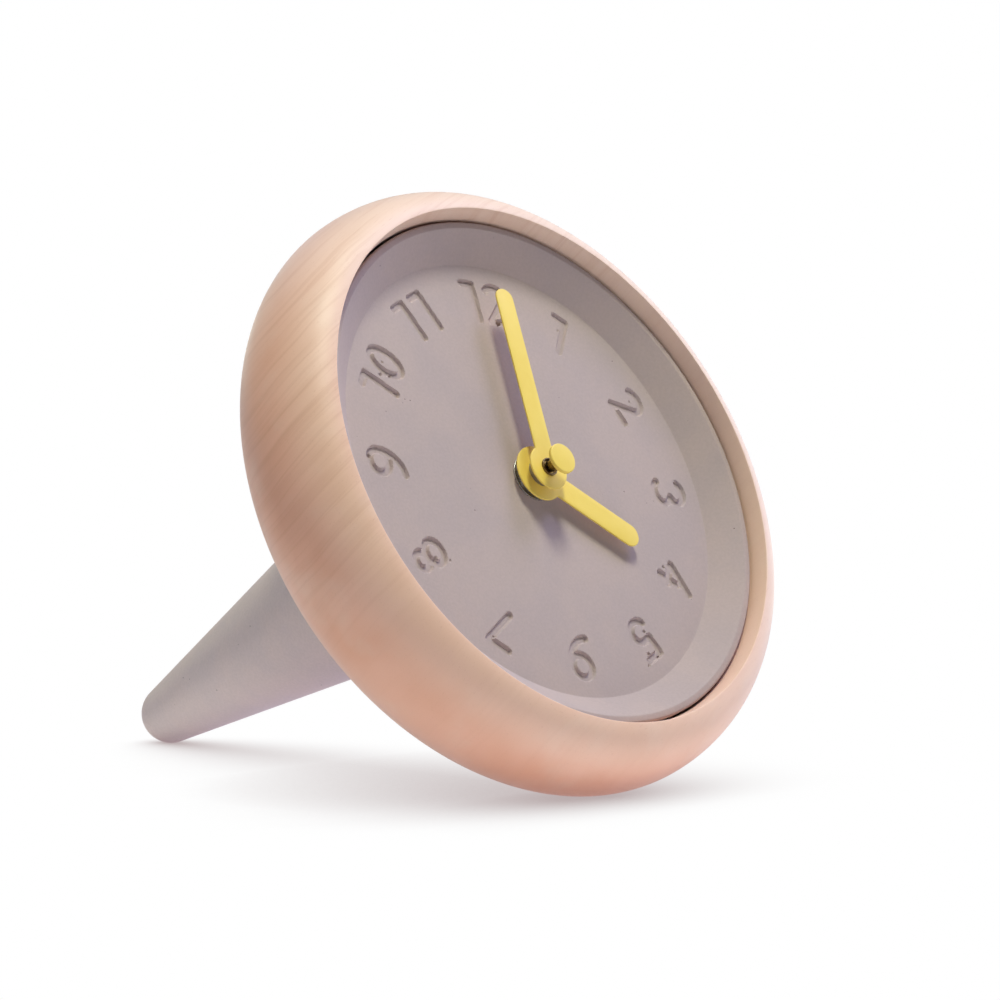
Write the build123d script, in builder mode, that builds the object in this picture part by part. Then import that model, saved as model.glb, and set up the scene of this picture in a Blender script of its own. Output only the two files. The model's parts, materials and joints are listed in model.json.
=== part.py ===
"""Desk clock like a spinning top: a turned wood ring round a cast concrete dial, on a concrete cone.

All lengths are millimetres. The clock rests on two points, the ring's lower edge and the cone's
rounded tip, so that its dial leans back. The origin is at the middle of its footprint, on the table,
with +Z up and the dial towards -Y. Depths are measured from the ring's front mouth towards the back,
along the clock's axis; what stands in front of the mouth has a negative depth.
"""
from build123d import *
from math import acos, asin, atan2, cos, degrees, hypot, pi, radians, sin
import os

# How the clock stands
lean_angle = 27.2  # the dial leans back by this much
roll_angle = 7.5  # the clock is set down rolled clockwise by this much

# Wood ring, turned round the movement: two quarter ellipses meet at its widest circle
passage_clearance = 6.47  # round the movement's corners
magnet_land = 1.5  # wood between the passage and the magnets
magnet_rim = 1.9  # between the magnets and the wall round the flange
back_rim_width = 6.88  # of the wood outside the flange, where the back ellipse is cut off
ring_tail_width = 50.7  # of the back ellipse
ring_tail_length = 29.1
ring_front_width = 12.0  # of the front ellipse
ring_belly_depth = 17.9  # depth of the widest circle
lip_width = 1.4
lip_taper = 0.8  # the mouth is wider than the bore by this much
lip_taper_depth = 4.5
shoulder_width = 6.6  # carries the dial
ledge_thickness = 6.0  # carries the magnets and the cone's flange

# Concrete dial
dial_clearance = 0.7
rim_depth = 4.5
rim_width = 1.9
rim_round = 0.7
dish_wall_width = 7.3
dial_floor_depth = 10.65
dial_floor_thickness = 6.0
floor_round = 1.5

# Concrete cone with its flange
cone_half_angle = 9.0
tip_radius = 8.0
flange_thickness = 6.0
flange_clearance = 0.3
flange_round = 0.8
cone_root_round = 5.0

# Magnets in the ring's ledge and steel discs in the flange
magnet_count = 4
magnet_start_angle = 45
magnet_radius = 4.0
magnet_thickness = 3.0
disc_thickness = 2.0
glue_gap = 0.05

# Movement case, as wide as the battery with its contacts
case_corner = 5.0
case_wall = 1.2
case_depth = 13.75
gasket_thickness = 1.0
gasket_radius = 13.0
pivot_clearance = 0.05
pivot_radius = 0.4
pivot_hole_depth = 0.9

# Threaded bush, washer and nut
bush_radius = 3.95
bush_bore_radius = 2.62
bush_end_depth = 8.75
dial_hole_clearance = 0.25
washer_radius = 6.2
washer_thickness = 0.4
nut_flats = 10.0
nut_thickness = 1.3

# Hands, stamped from sheet
hand_thickness = 0.5
hour_hand_depth = 7.73  # of its front face
hour_hand_length = 33.0
hour_hand_width = 6.2
hour_hub_radius = 7.3
hour_hand_angle = 119.4  # clockwise from twelve
hour_collar_radius = 3.6
hour_collar_front = 2.2
minute_hand_depth = 4.42
minute_hand_length = 49.5
minute_hand_width = 5.7
minute_hub_radius = 5.85
minute_hand_angle = 0.8
minute_collar_radius = 2.35
minute_collar_front = 0.5
minute_collar_recess_radius = 2.05
minute_collar_recess_depth = 0.6
collar_flange = 0.65
collar_flange_thickness = 0.28

# Cap on the seconds shaft
cap_radius = 3.95
cap_thickness = 1.0
cap_front = 0.96  # stands out of the ring's mouth by this much
cap_round = 0.25
socket_radius = 1.5
socket_rear_depth = 4.2
seconds_shaft_radius = 0.5
seconds_shaft_end_depth = 0.7

# Pipes round the seconds shaft
minute_pipe_radius = 1.6
minute_pipe_bore_radius = 0.58
minute_pipe_end_depth = 4.55
hour_pipe_radius = 2.55
hour_pipe_end_depth = 5.6

# Wheels: teeth, the distances between arbors, and the arbors' directions
rotor_pinion_teeth = 8
intermediate_wheel_teeth = 48
intermediate_pinion_teeth = 8
seconds_wheel_teeth = 40
seconds_pinion_teeth = 8
third_wheel_teeth = 60
third_pinion_teeth = 8
centre_wheel_teeth = 64
centre_pinion_teeth = 12
motion_wheel_teeth = 36
motion_pinion_teeth = 10
hour_wheel_teeth = 40
third_distance = 11.6
third_angle = 75
motion_distance = 11.6
motion_angle = 5
intermediate_distance = 8.4
intermediate_angle = 160
rotor_distance = 8.4
rotor_angle = 150
addendum_share = 0.8  # of the module
dedendum_share = 1.1
tooth_tip_share = 0.08  # half the tooth's width at its tip, of the pitch
tooth_root_share = 0.26

# Layers of the movement, measured back from the inside of its front wall
wheel_thickness = 0.7
motion_wheel_thickness = 1.0
pinion_margin = 0.2  # a pinion is longer than the wheel it meets by this much at each end
hour_layer = 0.35
motion_layer = 1.75
centre_layer = 3.45
middle_plate_layer = 4.75
middle_plate_thickness = 0.8
third_layer = 6.05
seconds_layer = 7.35
intermediate_layer = 8.65
bridge_layer = 10.15
bridge_thickness = 1.0
arbor_radius = 0.6
pipe_flange_radius = 2.6
pipe_flange_thickness = 0.3
pipe_rivet_radius = 2.1
clutch_thickness = 0.3
clutch_arm_length = 6.0
clutch_arm_width = 1.2
clutch_arm_count = 3

# Posts that carry the plates: their middles' distances from the case's inside, and places
left_post_gap = 4.8
right_post_gap = 5.8
top_post_gap = 2.8
left_post_height = -7.0
right_post_height = -7.5
top_post_across = 9.0
post_radius = 2.0
post_neck_radius = 1.3
post_peg_radius = 0.8

# Stepping motor
rotor_magnet_radius = 3.0
rotor_magnet_thickness = 2.3
rotor_magnet_layer = 5.85
rotor_air_gap = 0.4
stator_radius = 5.4
stator_thickness = 0.8
stator_layer = 6.55
stator_leg_width = 2.4
stator_leg_gap = 2.8  # between the case's inside and the left leg's middle
coil_room = 14.0  # between the legs' middles
stator_knee = 12.5
core_gap = 6.3  # between the case's inside and the core's middle
core_thickness = 1.0
coil_end_gap = 0.7
coil_flange_radius = 2.2
coil_flange_thickness = 0.8
coil_tube_radius = 1.5
winding_radius = 2.0
core_clearance = 0.05

# Circuit board
board_width = 9.5
board_height = 22.0
board_thickness = 1.0
board_gap = 0.65  # between the board and the case's inside
board_middle_height = 10.0
chip_radius = 2.6
chip_thickness = 1.0
chip_height = 13.5
crystal_radius = 1.0
crystal_length = 6.0
crystal_height = 2.5

# Battery, size AA, and its contacts
cell_radius = 7.25
cell_body_length = 49.2
cell_nub_radius = 2.75
cell_nub_length = 1.3
cell_round = 0.6
cell_clearance = 0.1
contact_room = 1.55  # for the contact at each end
pocket_clearance = 0.15
pocket_wall = 0.8  # of the case below the pocket
pocket_corner = 2.0
contact_thickness = 0.4
contact_width = 9.0
contact_gap = 0.05
contact_leg_length = 10.0

# Setting knob
knob_radius = 4.5
knob_thickness = 2.0
knob_gap = 0.3
knob_clearance = 0.3
knob_ridge_count = 16
knob_ridge_depth = 0.4

# Case and battery
cell_length = cell_body_length + cell_nub_length
chamber_half = cell_length / 2 + contact_room
case_half = chamber_half + case_wall
case_side = 2 * case_half
cell_height = cell_radius + pocket_clearance + pocket_wall - case_half

# Depths, from the dial's floor back to the ring's end
dial_back_depth = dial_floor_depth + dial_floor_thickness
case_front_depth = dial_back_depth + gasket_thickness
inside_depth = case_front_depth + case_wall
case_back_depth = case_front_depth + case_depth
knob_back_depth = case_back_depth + knob_gap + knob_thickness
ledge_back_depth = knob_back_depth + knob_clearance
ledge_front_depth = ledge_back_depth - ledge_thickness
ring_depth = ledge_back_depth + flange_thickness

# Radii of the ring, from the movement's corners outwards
case_corner_radius = case_corner + (case_half - case_corner) * hypot(1, 1)
passage_radius = case_corner_radius + passage_clearance
magnet_circle_radius = passage_radius + magnet_land + magnet_radius
rebate_radius = magnet_circle_radius + magnet_radius + magnet_rim
tail_turn = degrees(asin((ring_depth - ring_belly_depth) / ring_tail_length))
ring_tail_radius = rebate_radius + back_rim_width - ring_tail_width * cos(radians(tail_turn))
ring_radius = ring_tail_radius + ring_tail_width
ring_front_radius = ring_radius - ring_front_width
lip_radius = ring_front_radius + lip_width
bore_radius = lip_radius - lip_taper
shoulder_radius = bore_radius - shoulder_width

# The clock's frame: where the ring's mouth lies when ring and tip both touch the table
lean_sin, lean_cos = sin(radians(lean_angle)), cos(radians(lean_angle))
roll_sin, roll_cos = sin(radians(roll_angle)), cos(radians(roll_angle))
mouth_height = (
    ring_tail_radius * lean_cos
    + ring_belly_depth * lean_sin
    + hypot(ring_tail_width * lean_cos, ring_tail_length * lean_sin)
)
tip_depth = (mouth_height - tip_radius) / lean_sin  # of the tip's centre
front_reach = (
    ring_front_radius * lean_sin
    - ring_belly_depth * lean_cos
    + hypot(ring_front_width * lean_sin, ring_belly_depth * lean_cos)
)
back_reach = tip_depth * lean_cos + tip_radius
clock = Plane(
    origin=(0, (front_reach - back_reach) / 2, mouth_height),
    x_dir=(roll_cos, -roll_sin * lean_sin, -roll_sin * lean_cos),
    z_dir=(0, -lean_cos, lean_sin),
)

# Places on the dial's plane, from the clock's axis
pinion_overlap = wheel_thickness + 2 * pinion_margin
centre_place = (0, 0)
post_places = (
    (left_post_gap - chamber_half, left_post_height),
    (chamber_half - right_post_gap, right_post_height),
    (top_post_across, chamber_half - top_post_gap),
)
stator_left_leg = stator_leg_gap - chamber_half
stator_right_leg = stator_left_leg + coil_room
core_height = chamber_half - core_gap
board_across = chamber_half - board_gap - board_width / 2
board_place = (board_across, board_middle_height)
chip_place = (board_across, chip_height)
crystal_place = (board_across, crystal_height)


def beside(place, distance, angle):
    """Place at a distance and in a direction from another place."""
    return (place[0] + distance * cos(radians(angle)), place[1] + distance * sin(radians(angle)))


third_place = beside(centre_place, third_distance, third_angle)
motion_place = beside(centre_place, motion_distance, motion_angle)
intermediate_place = beside(centre_place, intermediate_distance, intermediate_angle)
rotor_place = beside(intermediate_place, rotor_distance, rotor_angle)


def level(depth, place=(0, 0), turn=0):
    """Plane parallel to the dial, facing forwards, at a depth behind the ring's mouth."""
    x_dir = clock.x_dir * cos(radians(turn)) + clock.y_dir * sin(radians(turn))
    origin = clock.from_local_coords(Vector(place[0], place[1], -depth))
    return Plane(origin=origin, x_dir=x_dir, z_dir=clock.z_dir)


def layer(distance, place=(0, 0)):
    """Plane parallel to the dial, at a distance behind the movement's front wall."""
    return level(inside_depth + distance, place)


# Half sections through the axis: x runs out from it and y runs forwards along it
section = Plane(origin=clock.origin, x_dir=clock.x_dir, z_dir=-clock.y_dir)
clock_axis = Axis(clock.origin, clock.z_dir)


def pitch_radii(distance, wheel_teeth, pinion_teeth):
    """Pitch radii of a wheel and a pinion that mesh at a distance."""
    wheel_radius = distance * wheel_teeth / (wheel_teeth + pinion_teeth)
    return wheel_radius, distance - wheel_radius


def gear_corners(teeth, pitch_radius, first_tooth=0):
    """Corners of a gear with straight-sided teeth, the first of them in a given direction.

    The teeth are thinner than the gaps, so a pair that meshes runs free through a whole turn.
    """
    module = 2 * pitch_radius / teeth
    tip = pitch_radius + addendum_share * module
    root = pitch_radius - dedendum_share * module
    flank = (
        (root, -tooth_root_share),
        (tip, -tooth_tip_share),
        (tip, tooth_tip_share),
        (root, tooth_root_share),
    )
    corners = []
    for tooth in range(teeth):
        for radius, share in flank:
            angle = radians(first_tooth + (tooth + share) * 360 / teeth)
            corners.append((radius * cos(angle), radius * sin(angle)))
    return corners


def save(piece, name):
    """Label a finished piece and write it as one STEP file."""
    piece.part.label = name
    export_step(piece.part, f"parts/{name}.step")


os.makedirs("parts", exist_ok=True)

# Each meshing pair's pitch radii; every pinion has a tooth in the middle of the wheel's gap
centre_wheel_radius, third_pinion_radius = pitch_radii(
    third_distance, centre_wheel_teeth, third_pinion_teeth
)
third_wheel_radius, seconds_pinion_radius = pitch_radii(
    third_distance, third_wheel_teeth, seconds_pinion_teeth
)
motion_wheel_radius, centre_pinion_radius = pitch_radii(
    motion_distance, motion_wheel_teeth, centre_pinion_teeth
)
hour_wheel_radius, motion_pinion_radius = pitch_radii(
    motion_distance, hour_wheel_teeth, motion_pinion_teeth
)
seconds_wheel_radius, intermediate_pinion_radius = pitch_radii(
    intermediate_distance, seconds_wheel_teeth, intermediate_pinion_teeth
)
intermediate_wheel_radius, rotor_pinion_radius = pitch_radii(
    rotor_distance, intermediate_wheel_teeth, rotor_pinion_teeth
)

# Wood ring
lip_turn = degrees(acos((lip_radius - ring_front_radius) / ring_front_width))
with BuildPart() as wood_ring:
    with BuildSketch(section):
        with BuildLine():
            crown = EllipticalCenterArc(
                (ring_front_radius, -ring_belly_depth),
                ring_front_width,
                ring_belly_depth,
                start_angle=0,
                arc_size=lip_turn,
            )
            tail = EllipticalCenterArc(
                (ring_tail_radius, -ring_belly_depth),
                ring_tail_width,
                ring_tail_length,
                start_angle=-tail_turn,
                arc_size=tail_turn,
            )
            Polyline(
                crown @ 1,
                (bore_radius, -lip_taper_depth),
                (bore_radius, -dial_back_depth),
                (shoulder_radius, -dial_back_depth),
                (shoulder_radius, -ledge_front_depth),
                (passage_radius, -ledge_front_depth),
                (passage_radius, -ledge_back_depth),
                (rebate_radius, -ledge_back_depth),
                (rebate_radius, -ring_depth),
                tail @ 0,
            )
        make_face()
    revolve(axis=clock_axis)
    with BuildSketch(level(ledge_back_depth)):
        with PolarLocations(magnet_circle_radius, magnet_count, magnet_start_angle):
            Circle(magnet_radius + glue_gap)
    extrude(amount=magnet_thickness + glue_gap, mode=Mode.SUBTRACT)
save(wood_ring, "wood_ring")

# Concrete dial, a shallow dish with a hole for the bush
dial_radius = bore_radius - dial_clearance
dial_floor_radius = dial_radius - rim_width - dish_wall_width
dial_hole_radius = bush_radius + dial_hole_clearance
with BuildPart() as concrete_dial:
    with BuildSketch(section) as dial_section:
        with BuildLine():
            Polyline(
                (dial_hole_radius, -dial_back_depth),
                (dial_radius, -dial_back_depth),
                (dial_radius, -rim_depth),
                (dial_radius - rim_width, -rim_depth),
                (dial_floor_radius, -dial_floor_depth),
                (dial_hole_radius, -dial_floor_depth),
                close=True,
            )
        make_face()
        fillet(dial_section.vertices().sort_by(Axis.Y)[-2:], rim_round)
        dish_foot = Vertex(dial_floor_radius, -dial_floor_depth, 0)
        fillet(dial_section.vertices().sort_by_distance(dish_foot)[:1], floor_round)
    revolve(axis=clock_axis)
save(concrete_dial, "concrete_dial")

# Concrete cone: its side is tangent to the rounded tip and runs into a flange
flange_radius = rebate_radius - flange_clearance
half_sin, half_cos = sin(radians(cone_half_angle)), cos(radians(cone_half_angle))
cone_root_radius = (tip_radius + (tip_depth - ring_depth) * half_sin) / half_cos
tip_tangent = (tip_radius * half_cos, -tip_depth - tip_radius * half_sin)
tip_middle = (
    tip_radius * cos(radians((90 + cone_half_angle) / 2)),
    -tip_depth - tip_radius * sin(radians((90 + cone_half_angle) / 2)),
)
tip_end = (0, -tip_depth - tip_radius)
with BuildPart() as concrete_cone:
    with BuildSketch(section) as cone_section:
        with BuildLine():
            ThreePointArc(tip_tangent, tip_middle, tip_end)
            Polyline(
                tip_end,
                (0, -ledge_back_depth),
                (flange_radius, -ledge_back_depth),
                (flange_radius, -ring_depth),
                (cone_root_radius, -ring_depth),
                tip_tangent,
            )
        make_face()
        cone_root = Vertex(cone_root_radius, -ring_depth, 0)
        fillet(cone_section.vertices().sort_by_distance(cone_root)[:1], cone_root_round)
        flange_edge = Vertex(flange_radius, -ring_depth, 0)
        fillet(cone_section.vertices().sort_by_distance(flange_edge)[:1], flange_round)
    revolve(axis=clock_axis)
    with BuildSketch(level(ledge_back_depth)):
        with PolarLocations(magnet_circle_radius, magnet_count, magnet_start_angle):
            Circle(magnet_radius + glue_gap)
    extrude(amount=-disc_thickness - glue_gap, mode=Mode.SUBTRACT)
save(concrete_cone, "concrete_cone")

with BuildPart() as ring_magnets:
    with BuildSketch(level(ledge_back_depth)):
        with PolarLocations(magnet_circle_radius, magnet_count, magnet_start_angle):
            Circle(magnet_radius)
    extrude(amount=magnet_thickness)
save(ring_magnets, "ring_magnets")

with BuildPart() as cone_steel_discs:
    with BuildSketch(level(ledge_back_depth)):
        with PolarLocations(magnet_circle_radius, magnet_count, magnet_start_angle):
            Circle(magnet_radius)
    extrude(amount=-disc_thickness)
save(cone_steel_discs, "cone_steel_discs")

# Fastening of the movement: gasket behind the dial, washer and nut in front of it
with BuildPart() as rubber_gasket:
    with BuildSketch(level(case_front_depth)):
        Circle(gasket_radius)
        Circle(dial_hole_radius, mode=Mode.SUBTRACT)
    extrude(amount=gasket_thickness)
save(rubber_gasket, "rubber_gasket")

with BuildPart() as threaded_bush:
    with BuildSketch(level(inside_depth)):
        Circle(bush_radius)
        Circle(bush_bore_radius, mode=Mode.SUBTRACT)
    extrude(amount=inside_depth - bush_end_depth)
save(threaded_bush, "threaded_bush")

with BuildPart() as dial_washer:
    with BuildSketch(level(dial_floor_depth)):
        Circle(washer_radius)
        Circle(bush_radius + pivot_clearance, mode=Mode.SUBTRACT)
    extrude(amount=washer_thickness)
save(dial_washer, "dial_washer")

with BuildPart() as hex_nut:
    with BuildSketch(level(dial_floor_depth - washer_thickness)):
        RegularPolygon(nut_flats / 2, 6, major_radius=False)
        Circle(bush_radius + pivot_clearance, mode=Mode.SUBTRACT)
    extrude(amount=nut_thickness)
save(hex_nut, "hex_nut")

# Movement case
pocket_half_height = cell_radius + pocket_clearance
pocket_top = cell_height + pocket_half_height
chamber_bottom = pocket_top + case_wall
chamber_height = chamber_half - chamber_bottom
chamber_middle = (0, chamber_bottom + chamber_height / 2)
plate_margin = 0.3
with BuildPart() as movement_front_case:
    with BuildSketch(level(inside_depth)):
        RectangleRounded(case_side, case_side, case_corner)
        Circle(bush_radius, mode=Mode.SUBTRACT)
    extrude(amount=case_wall)
    for place in post_places:
        with BuildSketch(level(inside_depth, place)):
            Circle(post_radius)
        extrude(amount=-middle_plate_layer)
        with BuildSketch(layer(middle_plate_layer, place)):
            Circle(post_neck_radius)
        extrude(amount=-(bridge_layer - middle_plate_layer))
        with BuildSketch(layer(bridge_layer, place)):
            Circle(post_peg_radius)
        extrude(amount=-bridge_thickness)
    for place in (third_place, motion_place):
        with BuildSketch(level(inside_depth, place)):
            Circle(pivot_radius + pivot_clearance)
        extrude(amount=pivot_hole_depth, mode=Mode.SUBTRACT)
save(movement_front_case, "movement_front_case")

with BuildPart() as movement_back_case:
    with BuildSketch(level(case_back_depth)):
        RectangleRounded(case_side, case_side, case_corner)
        with Locations((0, cell_height)):
            RectangleRounded(2 * chamber_half, 2 * pocket_half_height, pocket_corner, mode=Mode.SUBTRACT)
    extrude(amount=case_back_depth - inside_depth)
    with BuildSketch(level(case_back_depth - case_wall)):
        with Locations(chamber_middle):
            RectangleRounded(2 * chamber_half, chamber_height, case_corner - case_wall)
    extrude(amount=case_back_depth - case_wall - inside_depth, mode=Mode.SUBTRACT)
    with BuildSketch(level(case_back_depth, motion_place)):
        Circle(arbor_radius + pivot_clearance)
    extrude(amount=case_wall, mode=Mode.SUBTRACT)
save(movement_back_case, "movement_back_case")

# Plates that hold the wheels
plate_width = 2 * chamber_half - 2 * plate_margin
plate_height = chamber_height - 2 * plate_margin
stator_pads = ((stator_left_leg, core_height), (stator_right_leg, core_height))
middle_plate_back = middle_plate_layer + middle_plate_thickness
with BuildPart() as middle_plate:
    with BuildSketch(layer(middle_plate_back)):
        with Locations(chamber_middle):
            RectangleRounded(plate_width, plate_height, case_corner - case_wall)
        with Locations(*post_places):
            Circle(post_neck_radius + pivot_clearance, mode=Mode.SUBTRACT)
        with Locations(centre_place, third_place, motion_place):
            Circle(arbor_radius + pivot_clearance, mode=Mode.SUBTRACT)
        with Locations(intermediate_place, rotor_place):
            Circle(pivot_radius + pivot_clearance, mode=Mode.SUBTRACT)
    extrude(amount=middle_plate_thickness)
    for place in stator_pads:
        with BuildSketch(layer(middle_plate_back, place)):
            Circle(stator_leg_width / 2)
        extrude(amount=-(stator_layer - middle_plate_back))
save(middle_plate, "middle_plate")

bridge_edge = post_radius + arbor_radius
with BuildPart() as train_bridge:
    with BuildSketch(layer(bridge_layer + bridge_thickness)):
        with BuildLine():
            Polyline(
                (post_places[0][0] - bridge_edge, post_places[0][1] - bridge_edge),
                (post_places[1][0] + bridge_edge, post_places[1][1] - bridge_edge),
                (post_places[1][0] + bridge_edge, post_places[1][1] + bridge_edge),
                (post_places[2][0] + bridge_edge, post_places[2][1] + post_radius),
                (post_places[2][0] - bridge_edge, post_places[2][1] + post_radius),
                (rotor_place[0] - bridge_edge, rotor_place[1] + bridge_edge),
                (post_places[0][0] - bridge_edge, post_places[0][1] + bridge_edge),
                close=True,
            )
        make_face()
        with Locations(*post_places):
            Circle(post_peg_radius + pivot_clearance, mode=Mode.SUBTRACT)
        with Locations(centre_place, third_place, intermediate_place, rotor_place):
            Circle(pivot_radius + pivot_clearance, mode=Mode.SUBTRACT)
        with Locations(motion_place):
            Circle(arbor_radius + pivot_clearance, mode=Mode.SUBTRACT)
    extrude(amount=bridge_thickness)
save(train_bridge, "train_bridge")

# Going train, from the rotor to the centre wheel
with BuildPart() as rotor:
    with BuildSketch(layer(bridge_layer + pivot_hole_depth, rotor_place)):
        Circle(pivot_radius)
    extrude(amount=bridge_layer + pivot_hole_depth - middle_plate_layer - pinion_margin)
    with BuildSketch(layer(intermediate_layer + wheel_thickness + pinion_margin, rotor_place)):
        with BuildLine():
            Polyline(
                *gear_corners(rotor_pinion_teeth, rotor_pinion_radius, rotor_angle + 180), close=True
            )
        make_face()
    extrude(amount=pinion_overlap)
save(rotor, "rotor")

with BuildPart() as rotor_magnet:
    with BuildSketch(layer(rotor_magnet_layer + rotor_magnet_thickness, rotor_place)):
        Circle(rotor_magnet_radius)
        Circle(pivot_radius, mode=Mode.SUBTRACT)
    extrude(amount=rotor_magnet_thickness)
save(rotor_magnet, "rotor_magnet")


def gap_turn(teeth, angle):
    """Direction of the first tooth that puts a gap in a given direction."""
    return angle + 180 / teeth


with BuildPart() as intermediate_wheel:
    with BuildSketch(layer(bridge_layer + pivot_hole_depth, intermediate_place)):
        Circle(pivot_radius)
    extrude(amount=bridge_layer + pivot_hole_depth - middle_plate_layer - pinion_margin)
    with BuildSketch(layer(intermediate_layer + wheel_thickness, intermediate_place)):
        with BuildLine():
            Polyline(
                *gear_corners(
                    intermediate_wheel_teeth,
                    intermediate_wheel_radius,
                    gap_turn(intermediate_wheel_teeth, rotor_angle),
                ),
                close=True,
            )
        make_face()
    extrude(amount=wheel_thickness)
    with BuildSketch(layer(intermediate_layer, intermediate_place)):
        with BuildLine():
            Polyline(
                *gear_corners(
                    intermediate_pinion_teeth, intermediate_pinion_radius, intermediate_angle + 180
                ),
                close=True,
            )
        make_face()
    extrude(amount=intermediate_layer - seconds_layer + pinion_margin)
save(intermediate_wheel, "intermediate_wheel")

with BuildPart() as seconds_wheel:
    with BuildSketch(layer(bridge_layer + pivot_hole_depth)):
        Circle(pivot_radius)
    extrude(amount=pivot_hole_depth)
    with BuildSketch(layer(bridge_layer - pinion_margin)):
        Circle(seconds_shaft_radius)
    extrude(amount=inside_depth + bridge_layer - pinion_margin - seconds_shaft_end_depth)
    with BuildSketch(layer(bridge_layer)):
        Circle(pivot_radius)
    extrude(amount=pinion_margin)
    with BuildSketch(layer(seconds_layer + wheel_thickness)):
        with BuildLine():
            Polyline(
                *gear_corners(
                    seconds_wheel_teeth,
                    seconds_wheel_radius,
                    gap_turn(seconds_wheel_teeth, intermediate_angle),
                ),
                close=True,
            )
        make_face()
    extrude(amount=wheel_thickness)
    with BuildSketch(layer(seconds_layer)):
        with BuildLine():
            Polyline(*gear_corners(seconds_pinion_teeth, seconds_pinion_radius, third_angle), close=True)
        make_face()
    extrude(amount=seconds_layer - third_layer + pinion_margin)
save(seconds_wheel, "seconds_wheel")

with BuildPart() as third_wheel:
    with BuildSketch(layer(bridge_layer + pivot_hole_depth, third_place)):
        Circle(pivot_radius)
    extrude(amount=bridge_layer + 2 * pivot_hole_depth - pinion_margin)
    with BuildSketch(layer(bridge_layer - pinion_margin, third_place)):
        Circle(arbor_radius)
    extrude(amount=bridge_layer - 2 * pinion_margin)
    with BuildSketch(layer(third_layer + wheel_thickness, third_place)):
        with BuildLine():
            Polyline(
                *gear_corners(
                    third_wheel_teeth, third_wheel_radius, gap_turn(third_wheel_teeth, third_angle + 180)
                ),
                close=True,
            )
        make_face()
    extrude(amount=wheel_thickness)
    with BuildSketch(layer(centre_layer + wheel_thickness + pinion_margin, third_place)):
        with BuildLine():
            Polyline(
                *gear_corners(third_pinion_teeth, third_pinion_radius, third_angle + 180), close=True
            )
        make_face()
    extrude(amount=pinion_overlap)
save(third_wheel, "third_wheel")

with BuildPart() as centre_wheel:
    with BuildSketch(layer(centre_layer + wheel_thickness)):
        with BuildLine():
            Polyline(
                *gear_corners(
                    centre_wheel_teeth, centre_wheel_radius, gap_turn(centre_wheel_teeth, third_angle)
                ),
                close=True,
            )
        make_face()
        Circle(minute_pipe_radius + pivot_clearance, mode=Mode.SUBTRACT)
    extrude(amount=wheel_thickness)
save(centre_wheel, "centre_wheel")

# Motion work and the pipes that carry the hands
clutch_back = centre_layer
clutch_front = clutch_back - clutch_thickness
pipe_back = centre_layer + wheel_thickness + pinion_margin
with BuildPart() as minute_pipe:
    with BuildSketch(layer(pipe_back)):
        Circle(minute_pipe_radius)
    extrude(amount=inside_depth + pipe_back - minute_pipe_end_depth)
    with BuildSketch(layer(pipe_back)):
        Circle(pipe_rivet_radius)
    extrude(amount=pinion_margin)
    with BuildSketch(layer(clutch_front)):
        Circle(pipe_flange_radius)
    extrude(amount=pipe_flange_thickness)
    with BuildSketch(layer(clutch_front - pipe_flange_thickness)):
        with BuildLine():
            Polyline(*gear_corners(centre_pinion_teeth, centre_pinion_radius, motion_angle), close=True)
        make_face()
    extrude(amount=clutch_front - pipe_flange_thickness - motion_layer + pinion_margin)
    with BuildSketch(layer(pipe_back)):
        Circle(minute_pipe_bore_radius)
    extrude(amount=inside_depth + pipe_back - minute_pipe_end_depth, mode=Mode.SUBTRACT)
save(minute_pipe, "minute_pipe")

with BuildPart() as clutch_spring:
    with BuildSketch(layer(clutch_back)):
        Circle(pipe_flange_radius)
        with PolarLocations(clutch_arm_length / 2, clutch_arm_count):
            Rectangle(clutch_arm_length, clutch_arm_width)
        Circle(minute_pipe_radius, mode=Mode.SUBTRACT)
    extrude(amount=clutch_thickness)
save(clutch_spring, "clutch_spring")

motion_arbor_back = knob_back_depth - inside_depth
motion_wheel_back = motion_layer + motion_wheel_thickness
with BuildPart() as motion_work_wheel:
    with BuildSketch(level(inside_depth, motion_place)):
        Circle(pivot_radius)
    extrude(amount=pivot_hole_depth - pinion_margin)
    with BuildSketch(layer(motion_arbor_back, motion_place)):
        Circle(arbor_radius)
    extrude(amount=motion_arbor_back - pinion_margin)
    with BuildSketch(layer(hour_layer, motion_place)):
        Circle(pivot_radius)
    extrude(amount=hour_layer)
    with BuildSketch(layer(motion_wheel_back, motion_place)):
        with BuildLine():
            Polyline(
                *gear_corners(
                    motion_wheel_teeth,
                    motion_wheel_radius,
                    gap_turn(motion_wheel_teeth, motion_angle + 180),
                ),
                close=True,
            )
        make_face()
    extrude(amount=motion_wheel_thickness)
    with BuildSketch(layer(motion_layer, motion_place)):
        with BuildLine():
            Polyline(
                *gear_corners(motion_pinion_teeth, motion_pinion_radius, motion_angle + 180), close=True
            )
        make_face()
    extrude(amount=motion_layer - pinion_margin)
save(motion_work_wheel, "motion_work_wheel")

with BuildPart() as hour_wheel:
    with BuildSketch(layer(hour_layer + motion_wheel_thickness)):
        with BuildLine():
            Polyline(
                *gear_corners(
                    hour_wheel_teeth, hour_wheel_radius, gap_turn(hour_wheel_teeth, motion_angle)
                ),
                close=True,
            )
        make_face()
    extrude(amount=motion_wheel_thickness)
    with BuildSketch(layer(hour_layer)):
        Circle(hour_pipe_radius)
    extrude(amount=inside_depth + hour_layer - hour_pipe_end_depth)
    with BuildSketch(layer(hour_layer + motion_wheel_thickness)):
        Circle(minute_pipe_radius + pivot_clearance)
    extrude(amount=inside_depth + motion_wheel_thickness + hour_layer, mode=Mode.SUBTRACT)
save(hour_wheel, "hour_wheel")

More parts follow.
